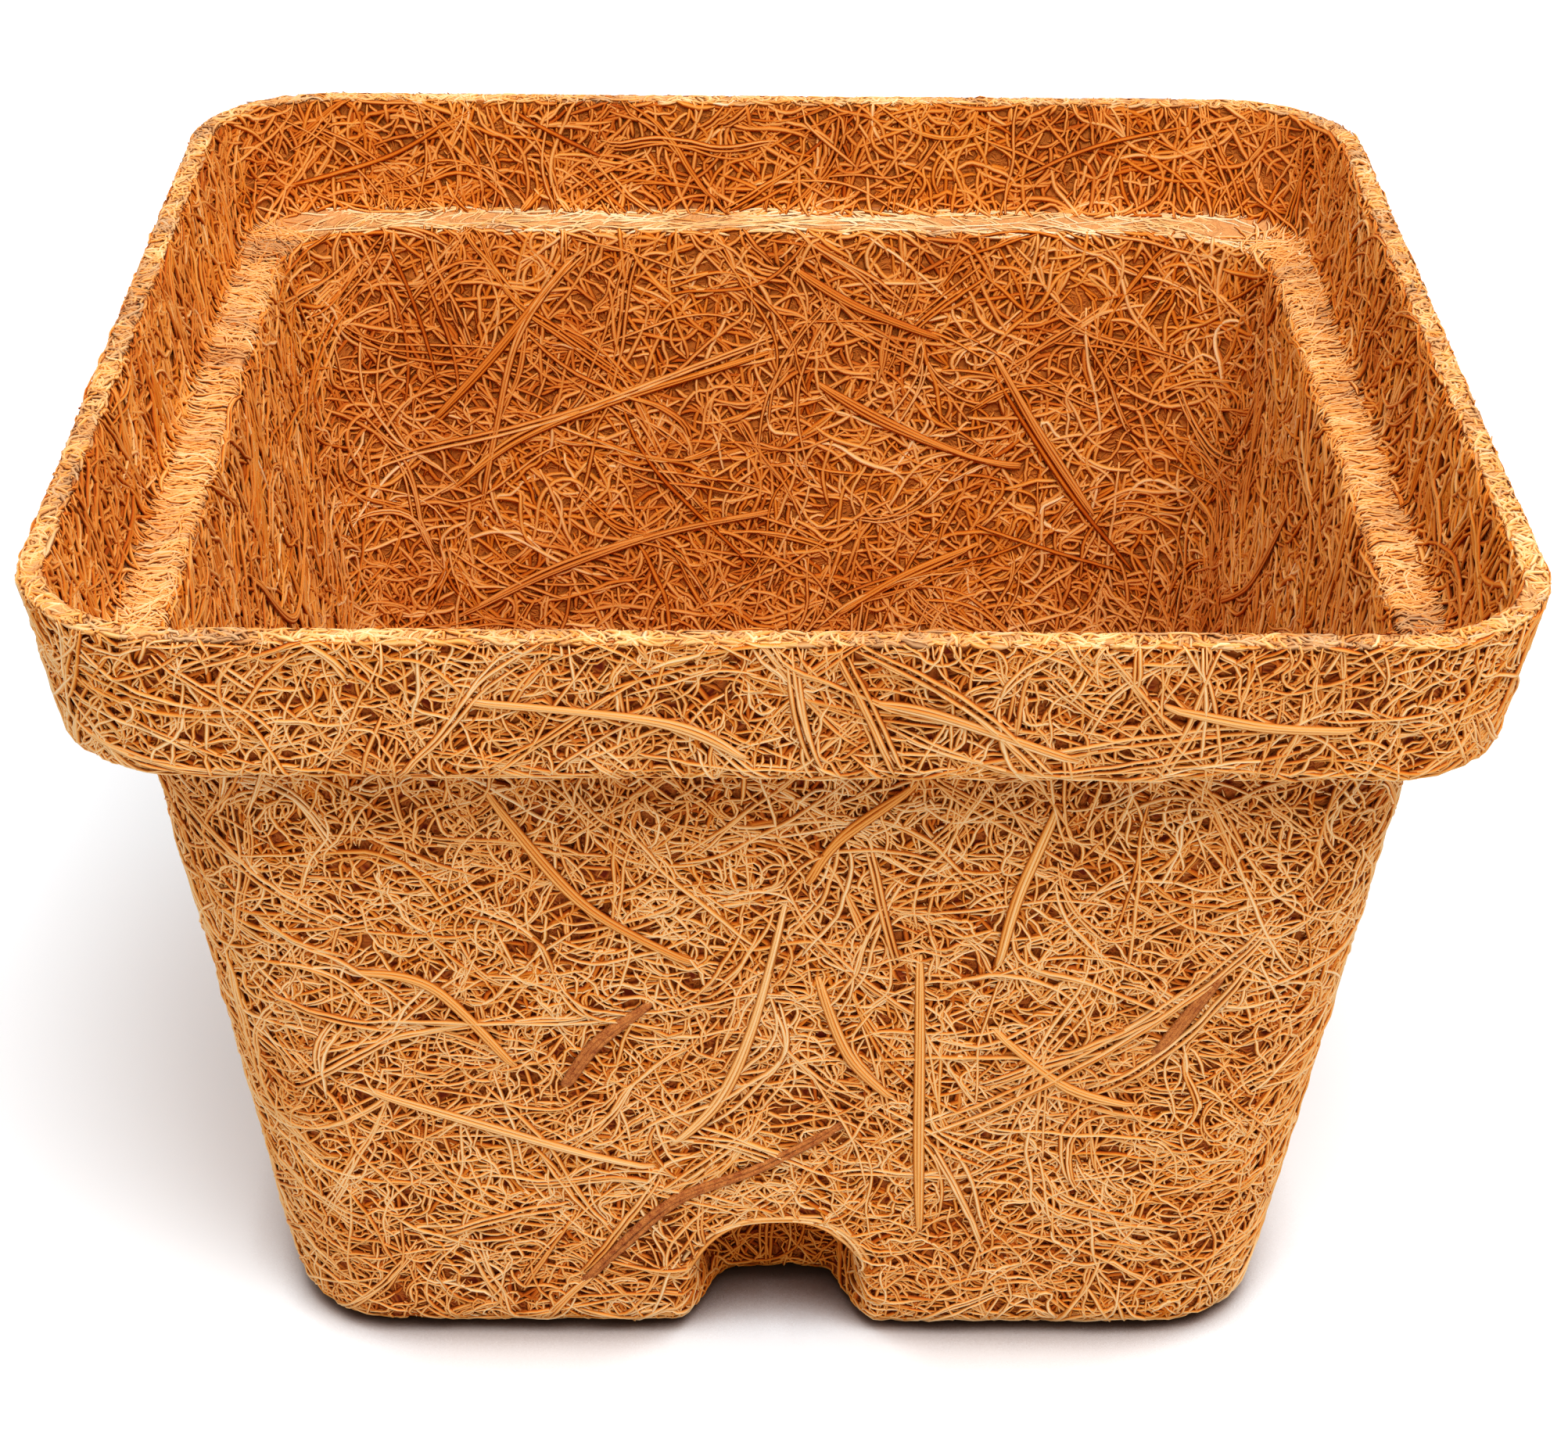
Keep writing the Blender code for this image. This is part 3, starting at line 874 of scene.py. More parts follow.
        keep = counts >= self.fewest
        points, normals, headings = (np.stack(table).transpose(1, 0, 2)[keep]
                                     for table in (points, normals, headings))
        rows = np.stack(rows, 1)[keep]
        margins = np.minimum(rows - used[0], used[-1] - rows)
        counts, width, lift = counts[keep], starts.width[keep], starts.lift[keep]
        tone, hue = starts.tone[keep], starts.hue[keep]
        shape = points.shape[:2]
        way = np.arange(shape[1])[None, :]
        share = np.clip(way / np.maximum(counts - 1, 1)[:, None], 0.0, 1.0)
        waves = rng.uniform(*self.swing, (len(counts), 1))
        swung = np.sin(2 * np.pi * way * step / waves + rng.random(waves.shape) * ABOUT_A_TURN)
        height = lift[:, None] + family.sway * swung
        ends = smooth(1 - share * self.end_share) + smooth(share * self.end_share - (self.end_share - 1))
        height -= family.dive * ends * smooth(margins / self.edge_rows)
        height -= self.foot_lift * np.clip(1 - points[..., 2] / skin.form.foot_rounding, 0.0, 1.0)
        dull, sunk = self.dullness(points), self.sunk(rows, points)
        points = points + normals * height[..., None]
        taper = self.tip + (1 - self.tip) * np.sqrt(np.sin(np.pi * share))
        widths = width[:, None] * taper
        tones = tone[:, None] + np.cumsum(rng.normal(0.0, self.waver, shape), axis=1)
        # painted shade: fibres deep in a drain notch are made darker and redder, where the recess falls in
        # shade
        tones = tones - self.dull_tone * dull - self.notch_painted_shade * sunk
        hues = hue[:, None] + self.dull_hue * dull - self.notch_painted_shade_hue * sunk
        depths = widths * family.flat
        return Strands(points, normals, headings, counts, widths, depths, tones, hues, family.edge)

    def nearest(self, region: Region, side: str, across: float, z: float) -> tuple[int, int]:
        """Row and column of the skin's point nearest to a place on one side of a region.

        Args:
            region: the stretch of skin.
            side: the side of the pot.
            across: distance from the side's middle, to the right as seen from outside.
            z: height.

        Returns:
            The row and the column.
        """
        skin = self.skin
        rows, columns = skin.rows_of(region), skin.columns_of(side)
        points = skin.points[rows][:, columns]
        u, v = points[..., 0], points[..., 1]
        for _ in range(SIDES.index(side)):
            u, v = v, -u
        chosen = int(np.argmin(np.hypot(u - across, points[..., 2] - z)))
        row, column = divmod(chosen, len(columns))
        return int(rows[row]), int(columns[column])

    def tubes(self, groups: list[Strands]) -> tuple[Array, Array, Array, Array]:
        """Three-sided closed tubes along the paths.

        Args:
            groups: the paths.

        Returns:
            Vertices, quads, end triangles and the UV of each vertex, tone and hue.
        """
        verts, quads, ends, uvs = [], [], [], []
        base = 0
        for strands in groups:
            shape = strands.points.shape[:2]
            used = np.arange(shape[1])[None, :] < strands.counts[:, None]
            place, normal = strands.points[used], strands.normals[used]
            across = np.cross(normal, strands.headings[used])
            half = strands.widths[used][:, None] / 2
            depth = strands.depths[used][:, None]
            left = place - across * half
            right = place + across * half
            ridge = place + normal * depth
            corners = np.stack([left, ridge, right], 1).reshape(-1, 3)
            corners[:, 2] = np.maximum(corners[:, 2], self.lowest)
            verts.append(corners)
            tone, hue = strands.tones[used], strands.hues[used]
            # painted light and shade: the ridge keeps the fibre's tone and the flanks are painted darker, one
            # a little more
            tones = np.stack([tone - strands.edge, tone, tone - strands.edge * 1.3], 1)
            hues = np.stack([hue - 0.004, hue, hue + 0.004], 1)
            uvs.append(np.stack([np.clip(tones, 0.01, 0.99), np.clip(hues, 0.01, 0.99)], 2).reshape(-1, 2))
            last = np.cumsum(strands.counts) - 1
            first = last - strands.counts + 1
            body = np.ones(len(place), bool)
            body[last] = False
            near = 3 * np.nonzero(body)[0] + base
            far = near + 3
            for k in range(3):
                n = (k + 1) % 3
                quads.append(np.stack([near + k, near + n, far + n, far + k], 1))
            start, stop = 3 * first + base, 3 * last + base
            ends.append(np.stack([start + 2, start + 1, start], 1))
            ends.append(np.stack([stop, stop + 1, stop + 2], 1))
            base += 3 * len(place)
        return np.concatenate(verts), np.concatenate(quads), np.concatenate(ends), np.concatenate(uvs)

    def piece(self, name: str, groups: list[Strands], material: Material) -> bpy.types.Object:
        """One object of fibres, with its tone and hue in its UV map."""
        verts, quads, ends, uvs = self.tubes(groups)
        return mesh_object(name, verts, quads, ends, material, uvs)


def unit(vectors: Array) -> Array:
    """Vectors scaled to length 1."""
    return vectors / np.maximum(np.linalg.norm(vectors, axis=1), 1e-12)[:, None]


def dots(a: Array, b: Array) -> Array:
    """Scalar product of each pair of vectors."""
    return np.einsum("ij,ij->i", a, b)


def mesh_object(name: str, verts: Array, quads: Array, tris: Array, material: Material,
                uvs: Array | None = None) -> bpy.types.Object:
    """A smooth-shaded object from arrays of vertices and faces.

    Args:
        name: the object's name.
        verts: places of the vertices.
        quads: four-sided faces.
        tris: three-sided faces.
        material: its only material.
        uvs: a place in the tone map for each vertex.

    Returns:
        The linked object.
    """
    loops = np.concatenate([quads.ravel(), tris.ravel()]).astype(np.int32)
    starts = np.concatenate([np.arange(len(quads)) * 4, len(quads) * 4 + np.arange(len(tris)) * 3])
    mesh = bpy.data.meshes.new(name)
    mesh.vertices.add(len(verts))
    mesh.vertices.foreach_set("co", verts.astype(np.float32).ravel())
    mesh.loops.add(len(loops))
    mesh.loops.foreach_set("vertex_index", loops)
    mesh.polygons.add(len(starts))
    mesh.polygons.foreach_set("loop_start", starts.astype(np.int32))
    mesh.polygons.foreach_set("use_smooth", np.ones(len(starts), bool))
    if uvs is not None:
        layer = mesh.uv_layers.new(name="OFBake")
        layer.data.foreach_set("uv", uvs[loops].astype(np.float32).ravel())
    mesh.update(calc_edges=True)
    mesh.materials.append(material)
    obj = bpy.data.objects.new(name, mesh)
    bpy.context.scene.collection.objects.link(obj)
    return obj


@dataclass(frozen=True)
class CoirFibre:
    """Brown coconut fibre, combed from the husk: a dry round bristle with a faint waxy sheen."""

    name: str = "coir_fibre"
    orange: tuple[str, ...] = ("#701e04", "#ba4f0a", "#dc7c1e", "#efa852", "#f8d29e")
    tan: tuple[str, ...] = ("#7e2808", "#c86418", "#e89a46", "#f4bf7e", "#fbe2b8")
    grey: tuple[str, ...] = ("#4a2210", "#8a5630", "#bc8a5c", "#d6ae84", "#ecd4b2")
    orange_to_tan: Span = (0.05, 0.45)
    tan_to_grey: Span = (0.6, 0.95)
    roughness: float = 0.58
    specular: float = 0.06
    grain: float = 0.3 * MM
    relief: float = 0.04 * MM

    def make(self) -> Material:
        """Builds the material; the UV map's U is the fibre's tone, which carries the painted shade of its
        flanks and of the lower fibres, and V its kind.
        """
        material, tree = new_material(self.name)
        uv = add(tree, "ShaderNodeUVMap", uv_map="OFBake")
        parts = add(tree, "ShaderNodeSeparateXYZ", {"Vector": uv.outputs["UV"]})
        tone, kind = parts.outputs["X"], parts.outputs["Y"]
        orange, tan, grey = (ramp(tree, tone, colours) for colours in (self.orange, self.tan, self.grey))
        warm = blend(tree, remap(tree, kind, self.orange_to_tan), orange, tan)
        colour = blend(tree, remap(tree, kind, self.tan_to_grey), warm, grey)
        scales = noise(tree, add(tree, "ShaderNodeTexCoord").outputs["Object"], self.grain)
        wear = remap(tree, tone, onto=(self.roughness + 0.14, self.roughness - 0.08))
        bump = add(tree, "ShaderNodeBump", {"Height": scales.outputs["Fac"], "Strength": 0.25,
                                            "Distance": self.relief})
        surface(tree, colour, wear, bump, self.specular)
        return material


@dataclass(frozen=True)
class LatexFelt:
    """Hot-pressed coir felt bonded with latex: the matted depth under the loose fibres, dull and brown."""

    name: str = "latex_felt"
    gap: str = "#681a05"
    low: str = "#963a0c"
    high: str = "#b85e1e"
    # pale: painted light, the paler colour that level faces at the ledge's height are given
    ledge_painted_light: str = "#e8a664"
    inner: str = "#c46e26"
    mesh: float = 1.1 * MM
    line: float = 0.16
    stretch: tuple[float, float, float] = (1.0, 0.45, 1.0)
    turns: tuple[tuple[float, float, float], ...] = ((0.5, 0.3, 0.2), (1.4, 0.9, 1.9), (2.3, 2.0, 0.8))
    warp: float = 2.6 * MM
    sway: float = 1.2 * MM
    patch: float = 6 * MM
    # painted light on the ledge: how far up a face must look, the heights, and how much of the paler colour
    # it gets
    level: Span = (0.6, 0.95)
    ledge: Span = (52 * MM, 56 * MM)
    ledge_painted_light_share: float = 0.85
    inner_share: float = 0.72
    roughness: float = 0.82
    specular: float = 0.1
    relief: float = 0.2 * MM

    def make(self) -> Material:
        """Builds the material: three nets of drawn-out cells, whose edges are the buried fibres; the darker
        cells between them are partly the felt's own brown and partly painted shade of the holes.

        Faces that look inwards are warmer, and level faces at the height of the ledge are painted paler:
        painted light on the faces that look up at the lamps.
        """
        material, tree = new_material(self.name)
        place = add(tree, "ShaderNodeTexCoord").outputs["Object"]
        warp = noise(tree, place, self.warp).outputs["Color"]
        away = vector(tree, "SUBTRACT", {0: warp, 1: (0.5, 0.5, 0.5)})
        far = vector(tree, "SCALE", {0: away.outputs[0], "Scale": self.sway})
        bent = vector(tree, "ADD", {0: place, 1: far.outputs[0]}).outputs[0]
        nets = []
        for turn in self.turns:
            mapping = add(tree, "ShaderNodeMapping", {"Vector": bent, "Rotation": turn,
                                                      "Scale": self.stretch})
            cells = add(tree, "ShaderNodeTexVoronoi", {"Vector": mapping.outputs["Vector"],
                                                       "Scale": 1 / self.mesh}, feature="DISTANCE_TO_EDGE")
            nets.append(remap(tree, cells.outputs["Distance"], (0.0, self.line), (1.0, 0.0)))
        net = calc(tree, "MAXIMUM", calc(tree, "MAXIMUM", nets[0], nets[1]), nets[2])
        lift = calc(tree, "ADD", noise(tree, place, self.patch, 3.0).outputs["Fac"], -0.5)
        # the cells between the buried fibres take the darker colours: partly the felt's own brown, partly
        # painted shade of the holes
        felt = ramp(tree, calc(tree, "MULTIPLY_ADD", lift, 0.5, net), (self.gap, self.low, self.high))
        facing = add(tree, "ShaderNodeNewGeometry").outputs["Normal"]
        outward = vector(tree, "DOT_PRODUCT", {0: place, 1: facing}).outputs["Value"]
        within = remap(tree, outward, (0.002, -0.002), (0.0, self.inner_share))
        upward, height = (add(tree, "ShaderNodeSeparateXYZ", {0: way}).outputs["Z"]
                          for way in (facing, place))
        # painted light: level faces at the ledge's height that look up are made paler
        flat = calc(tree, "MULTIPLY", remap(tree, upward, self.level), remap(tree, height, self.ledge))
        lined = blend(tree, within, felt, linear(self.inner))
        colour = blend(tree, calc(tree, "MULTIPLY", flat, self.ledge_painted_light_share), lined, linear(self.ledge_painted_light))
        rough = remap(tree, net, onto=(self.roughness + 0.1, self.roughness - 0.1))
        bump = add(tree, "ShaderNodeBump", {"Height": net, "Strength": 0.8, "Distance": self.relief})
        surface(tree, colour, rough, bump, self.specular)
        return material


@dataclass(frozen=True)
class HuskBark:
    """Slivers of the husk's outer skin, caught in the felt: dull, dark and split along the grain."""

    name: str = "husk_bark"
    dark: str = "#8a3810"
    light: str = "#d88640"
    grain: float = 0.12 * MM
    roughness: float = 0.8
    specular: float = 0.15
    relief: float = 0.08 * MM

    def make(self) -> Material:
        """Builds the material, with streaks and pores."""
        material, tree = new_material(self.name)
        place = add(tree, "ShaderNodeTexCoord").outputs["Object"]
        streak = noise(tree, place, 5 * self.grain, 4.0).outputs["Fac"]
        pores = noise(tree, place, self.grain).outputs["Fac"]
        both = calc(tree, "ADD", streak, pores)
        colour = ramp(tree, remap(tree, both, (0.7, 1.3)), (self.dark, self.light))
        rough = remap(tree, pores, onto=(self.roughness - 0.1, self.roughness + 0.1))
        bump = add(tree, "ShaderNodeBump", {"Height": both, "Strength": 0.5, "Distance": self.relief})
        surface(tree, colour, rough, bump, self.specular)
        return material


@dataclass
class FeltCore:
    """The matted body of the felt, under its loose fibres."""

    skin: PotSkin
    material: Material
    depth: float = 0.36 * MM
    trimmed_depth: float = 0.16 * MM
    roughness: float = 0.06 * MM
    thin: int = 2

    def build(self, rng: Rng) -> bpy.types.Object:
        """One closed shell, a little inside the pressed faces, uneven as felt is."""
        points = self.skin.points[::self.thin, ::self.thin]
        normals = self.skin.normals[::self.thin, ::self.thin]
        waves, starts = random_waves(rng, 14, 1.8 * MM, 5.0 * MM)
        swell = np.sin(points @ waves.T + starts).sum(axis=2) / math.sqrt(len(waves))
        regions = self.skin.regions[::self.thin]
        pressed = np.isin(regions, [Region.RIM.value, Region.LEDGE.value])
        depth = np.where(pressed, self.trimmed_depth, self.depth)[:, None]
        points = points - normals * (depth + self.roughness * swell)[..., None]
        rows, columns = points.shape[:2]
        at = np.arange(rows * columns).reshape(rows, columns)
        right = np.roll(at, -1, axis=1)
        quads = np.stack([at[:-1], right[:-1], right[1:], at[1:]], 2).reshape(-1, 4)
        verts = points.reshape(-1, 3)
        verts = np.concatenate([verts, [points[0].mean(0), points[-1].mean(0)]])
        first, last = len(verts) - 2, len(verts) - 1
        below = np.stack([np.full(columns, first), right[0], at[0]], 1)
        above = np.stack([np.full(columns, last), at[-1], right[-1]], 1)
        core = mesh_object("felt_core", verts, quads, np.concatenate([below, above]), self.material)
        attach(core, "root")
        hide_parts("pot_shell")
        return core


class Kind(Enum):
    """What a long strand is made of, named as the record's slots."""

    STRAND = "strand"
    BARK = "bark"


@dataclass
class Ground:
    """A plane face that long strands lie on, with the side that it faces, 1 out and -1 in."""

    form: PotForm
    region: Region
    facing: int

    def spans(self) -> Span:
        """Lowest and highest height of the face."""
        form = self.form
        if self.region is Region.WALL:
            return form.foot_rounding, form.shoulder_z - form.shoulder_fillet
        if self.region is Region.COLLAR:
            return form.shoulder_z + form.collar_rounding, form.height
        return form.wall + form.floor_fillet, form.ledge_z - form.ledge_rounding

    def half(self, z: float) -> float:
        """Half width of the face at a height."""
        if self.region is Region.COLLAR:
            return self.form.collar_half(z)
        return self.form.body_half(z) - (self.form.wall if self.facing < 0 else 0.0)

    def flat(self, z: float) -> float:
        """Half length of the face at a height."""
        return self.form.collar_flat if self.region is Region.COLLAR else self.form.body_flat(z)

    def place(self, across: float, up: float, turns: int) -> tuple[Array, Array]:
        """Point and outward normal at shares across and up the face, on one of the four sides."""
        low, high = self.spans()
        z = mix(low, high, up)
        lean = (self.half(high) - self.half(low)) / (high - low)
        point = np.array([*turned(across * self.flat(z), -self.half(z), turns), z])
        normal = np.array([*turned(0.0, -1.0, turns), -lean]) * self.facing
        return point, normal / np.linalg.norm(normal)

    def trace(self, spots: list, turns: int) -> tuple[Array, Array]:
        """Points and normals along a list of shares across and up the face."""
        placed = [self.place(across, up, turns) for across, up in spots]
        return np.array([point for point, _ in placed]), np.array([normal for _, normal in placed])


def curve_point(route: Route, share: float) -> list[float]:
    """Point of a smooth curve through a route, share 0 to 1 along it."""
    spans = len(route) - 1
    place = min(max(share, 0.0), 1.0) * spans
    k = min(int(place), spans - 1)
    t = place - k
    before, a, b, after = route[max(k - 1, 0)], route[k], route[k + 1], route[min(k + 2, spans)]
    out = []
    for p0, p1, p2, p3 in zip(before, a, b, after):
        slope_a, slope_b = (p2 - p0) / 2, (p3 - p1) / 2
        value = (2 * t ** 3 - 3 * t ** 2 + 1) * p1 + (t ** 3 - 2 * t ** 2 + t) * slope_a
        out.append(value + (3 * t ** 2 - 2 * t ** 3) * p2 + (t ** 3 - t ** 2) * slope_b)
    return out


@dataclass
class LongStrand:
    """One of the part's strands or slivers, drawn as a flat ribbon of parallel fibres."""

    name: str
    ground: Ground
    side: str
    route: Route
    width: float
    kind: Kind
    members: int = 3
    lift: float = 0.1 * MM
    step: float = 0.7 * MM
    flat: float = 0.26
    # edge: painted shade on the flanks of each fibre
    edge: float = 0.42

    def paths(self, rng: Rng) -> Strands:
        """The ribbon's fibres, side by side, closing up towards both ends."""
        turns = SIDES.index(self.side)
        rough, _ = self.ground.trace([curve_point(self.route, share)
                                      for share in np.linspace(0.0, 1.0, 12)], turns)
        length = np.linalg.norm(np.diff(rough, axis=0), axis=1).sum()
        rings = max(int(length / self.step), 8)
        shares = np.linspace(0.0, 1.0, rings)
        points, normals = self.ground.trace([curve_point(self.route, share) for share in shares], turns)
        along = unit(np.gradient(points, axis=0))
        side = np.cross(normals, along)
        swell = 0.25 + 0.75 * np.sqrt(np.sin(np.pi * np.clip(shares, 0.01, 0.99)))
        places = np.arange(self.members) - (self.members - 1) / 2
        gap = self.width / (self.members + 0.6)
        wander = rng.normal(0.0, 0.3, (self.members, 2))
        drift = wander[:, :1] * np.sin(2.2 * np.pi * shares) + wander[:, 1:] * np.cos(3.1 * np.pi * shares)
        offset = (places[:, None] * swell[None, :] + 0.6 * drift) * gap
        crown = 1 - (2 * places / max(self.members, 2)) ** 2
        height = self.lift + 0.12 * MM * crown[:, None] * swell[None, :]
        height = height - 0.3 * MM * (smooth(1 - shares * 8) + smooth(shares * 8 - 7))[None, :]
        spread = points[None] + side[None] * offset[..., None] + normals[None] * height[..., None]
        shape = (self.members, rings)
        widths = np.full(shape, gap * 1.9) * (0.5 + 0.5 * swell)[None, :]
        inside = self.ground.facing < 0
        tone = rng.uniform(0.72, 0.86) - 0.16 * inside + rng.normal(0.0, 0.06, self.members)
        hue = rng.uniform(0.1, 0.45) - 0.1 * inside
        tones = tone[:, None] + np.cumsum(rng.normal(0.0, 0.01, shape), axis=1)
        hues = np.full(shape, hue) + rng.normal(0.0, 0.02, self.members)[:, None]
        counts = np.full(self.members, rings)
        tile = (self.members, 1, 1)
        normals, along = np.tile(normals, tile), np.tile(along, tile)
        return Strands(spread, normals, along, counts, widths, widths * self.flat, tones, hues, self.edge)


@dataclass
class Coat:
    """The fibres of one stretch of the pot's skin.

    Attributes:
        name: the piece's name.
        region: where its fibres start.
        families: the kinds of fibre, from the deepest to the topmost.
        side: the side where they start, or None for all four.
        reaches: other regions that they may run on to.
        band: lowest and highest share of the region's rows where they start.
        lap: rows by which they lap over the region's edges.
    """

    name: str
    region: Region
    families: tuple[Family, ...]
    side: str | None = None
    reaches: tuple[Region, ...] = ()
    band: Span = (0.0, 1.0)
    lap: int = 2

    def seeds(self, skin: PotSkin) -> Array:
        """Where the fibres may start: 1 or 0 for each place of the skin's table."""
        rows = skin.rows_of(self.region)
        first = rows[0] + int(self.band[0] * len(rows))
        last = rows[0] + int(math.ceil(self.band[1] * len(rows)))
        mask = np.zeros(skin.areas.shape)
        mask[first:last] = 1.0
        if self.side is not None:
            here = np.zeros(skin.columns)
            here[skin.columns_of(self.side)] = 1.0
            mask *= here[None, :]
        return mask

    def build(self, weaver: Weaver, material: Material, rng: Rng) -> bpy.types.Object:
        """Grows the fibres and makes their piece."""
        skin = weaver.skin
        reach = {self.region.value} | {region.value for region in self.reaches}
        allowed = np.isin(skin.regions, list(reach))
        rows = np.nonzero(allowed)[0]
        allowed[max(rows[0] - self.lap, 0):rows[-1] + self.lap + 1] = True
        seeds = self.seeds(skin)
        groups = [weaver.lay(family, allowed, seeds, rng) for family in self.families]
        piece = weaver.piece(self.name, groups, material)
        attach(piece, "root")
        LOG.info("%s: %d fibres, %d faces", self.name, sum(len(group.counts) for group in groups),
                 len(piece.data.polygons))
        return piece


@dataclass
class LooseFibre:
    """A long fibre or thin bundle, listed one by one where the photograph shows one.

    Attributes:
        region: the stretch of skin where it starts.
        side: the side of the pot.
        start: millimetres from the side's middle and above the floor.
        end: the same for its other end.
        bend: how fast it bends, in radians for each metre; above 0 to its left as seen from its face.
        members: how many run side by side.
        width: its width.
        tone: how light it is.
        hue: its kind.
    """

    region: Region
    side: str
    start: Span
    end: Span
    bend: float = 0.0
    members: int = 1
    width: float = 0.4 * MM
    tone: float = 0.8
    hue: float = 0.4


@dataclass
class LooseFibres:
    """The boldest single fibres and thin bundles that are no nodes of the part, in one piece."""

    fibres: tuple[LooseFibre, ...]
    lift: float = 0.12 * MM

    def build(self, weaver: Weaver, material: Material, rng: Rng) -> bpy.types.Object:
        """Runs each fibre over the skin from its start towards its end."""
        columns = []
        for number, fibre in enumerate(self.fibres):
            start = weaver.nearest(fibre.region, fibre.side, fibre.start[0] * MM, fibre.start[1] * MM)
            end = weaver.nearest(fibre.region, fibre.side, fibre.end[0] * MM, fibre.end[1] * MM)
            chord = weaver.skin.points[end] - weaver.skin.points[start]
            normal = weaver.skin.normals[start]
            span = float(np.linalg.norm(chord))
            way = chord - normal * np.dot(chord, normal)
            way /= np.linalg.norm(way)
            turn = -fibre.bend * span / 2
            way = way * math.cos(turn) + np.cross(normal, way) * math.sin(turn)
            for member in range(fibre.members):
                aside = (member - (fibre.members - 1) / 2) * fibre.width * 0.85
                shift = np.cross(normal, way) * aside
                shift = shift + way * rng.uniform(-1.0, 1.0) * MM * (fibre.members > 1)
                place = np.array([float(start[0])]), np.array([float(start[1])])
                row, column = weaver.moved(*place, shift[None])
                own = rng.normal(0.0, 0.03)
                reach = span * (1 + (fibre.bend * span) ** 2 / 24)
                columns.append((row[0], column[0], way, reach, fibre.width, self.lift, fibre.tone + own,
                                fibre.hue + own, fibre.bend, number))
        starts = Starts(*(np.array(column) for column in zip(*columns)))
        family = Family(cover=1.0, length=(1.0, 1.0), curl=(0.0, 25.0), calm=5 * MM, hold=1.0, sway=0.05 * MM,
                        dive=0.3 * MM, edge=0.5, step=0.6 * MM)
        allowed = np.ones(len(weaver.skin.regions), bool)
        piece = weaver.piece("bold_single_fibres", [weaver.walk(family, allowed, starts, rng)], material)
        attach(piece, "root")
        return piece


@dataclass
class NotchHems:
    """Fibres that the press bends round the lip of each drain notch."""

    form: PotForm
    members: int = 3
    first: float = 0.24 * MM
    gap: float = 0.22 * MM
    width: float = 0.42 * MM
    rings: int = 56
    foot: float = 0.36
    flat: float = 0.36
    # edge: painted shade on the flanks of each fibre
    edge: float = 0.24

    def build(self, weaver: Weaver, material: Material, rng: Rng) -> bpy.types.Object:
        """Lays the arcs on all four sides, in one piece."""
        form = self.form
        ground = Ground(form, Region.WALL, 1)
        low, high = ground.spans()
        groups = []
        for turns in range(len(SIDES)):
            for member in range(self.members):
                out = self.first + self.gap * member
                ends = self.foot + rng.uniform(0.0, 0.5, 2)
                turn = np.linspace(ends[0], math.pi - ends[1], self.rings)
                out = out + 0.16 * MM * np.sin(turn * rng.uniform(2.0, 5.0) + rng.uniform(0.0, 6.0))
                power = 2 / form.notch_squareness
                x = (form.notch_width / 2 + out) * np.sign(np.cos(turn)) * np.abs(np.cos(turn)) ** power
                z = (form.notch_height + out) * np.sin(turn) ** power
                spots = [(u / form.body_flat(v), (v - low) / (high - low)) for u, v in zip(x, z)]
                points, normals = ground.trace(spots, turns)
                share = np.linspace(0.0, 1.0, self.rings)
                sunk = 0.3 * MM * (smooth(1 - share * 6) + smooth(share * 6 - 5))
                points = points - normals * (0.08 * MM + sunk)[:, None]
                along = unit(np.gradient(points, axis=0))
                widths = np.full((1, self.rings), self.width)
                tones = rng.uniform(0.62, 0.8) + np.cumsum(rng.normal(0.0, 0.02, (1, self.rings)), axis=1)
                hues = np.full((1, self.rings), rng.uniform(0.35, 0.65))
                counts = np.array([self.rings])
                groups.append(Strands(points[None], normals[None], along[None], counts, widths,
                                      widths * self.flat, tones, hues, self.edge))
        piece = weaver.piece("notch_hems", groups, material)
        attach(piece, "root")
        return piece


# The deepest fibres are made darker, a painted shade of the fibres over them
DEEP = Family(cover=0.7, length=(5 * MM, 10 * MM), width=(0.4 * MM, 0.6 * MM), lift=(-0.38 * MM, -0.26 * MM),
              curl=(60.0, 300.0), hold=3 * MM, step=0.9 * MM, tone=(0.32, 0.56), hue=(0.0, 0.3))
NET = Family(cover=1.65, length=(4 * MM, 10 * MM), width=(0.26 * MM, 0.4 * MM), lift=(-0.26 * MM, -0.06 * MM),
             tone=(0.7, 1.0), hue=(0.05, 0.4))
MESH = Family(cover=0.4, length=(5 * MM, 13 * MM), lift=(-0.18 * MM, -0.02 * MM), curl=(60.0, 200.0),
              calm=2.0 * MM, hold=12 * MM, step=0.7 * MM, tone=(0.7, 1.0), hue=(0.1, 0.45))
FILL = replace(NET, cover=1.3, length=(1.6 * MM, 4 * MM), lift=(-0.3 * MM, -0.14 * MM),
               tone=(0.54, 0.92), fills=True)
SHEAF = Family(cover=0.36, length=(8 * MM, 20 * MM), width=(0.3 * MM, 0.46 * MM),
               lift=(-0.08 * MM, 0.04 * MM), curl=(25.0, 110.0), calm=3.0 * MM, hold=30 * MM, crowd=3,
               sway=0.05 * MM, step=0.9 * MM, tone=(0.74, 1.0), hue=(0.1, 0.45))


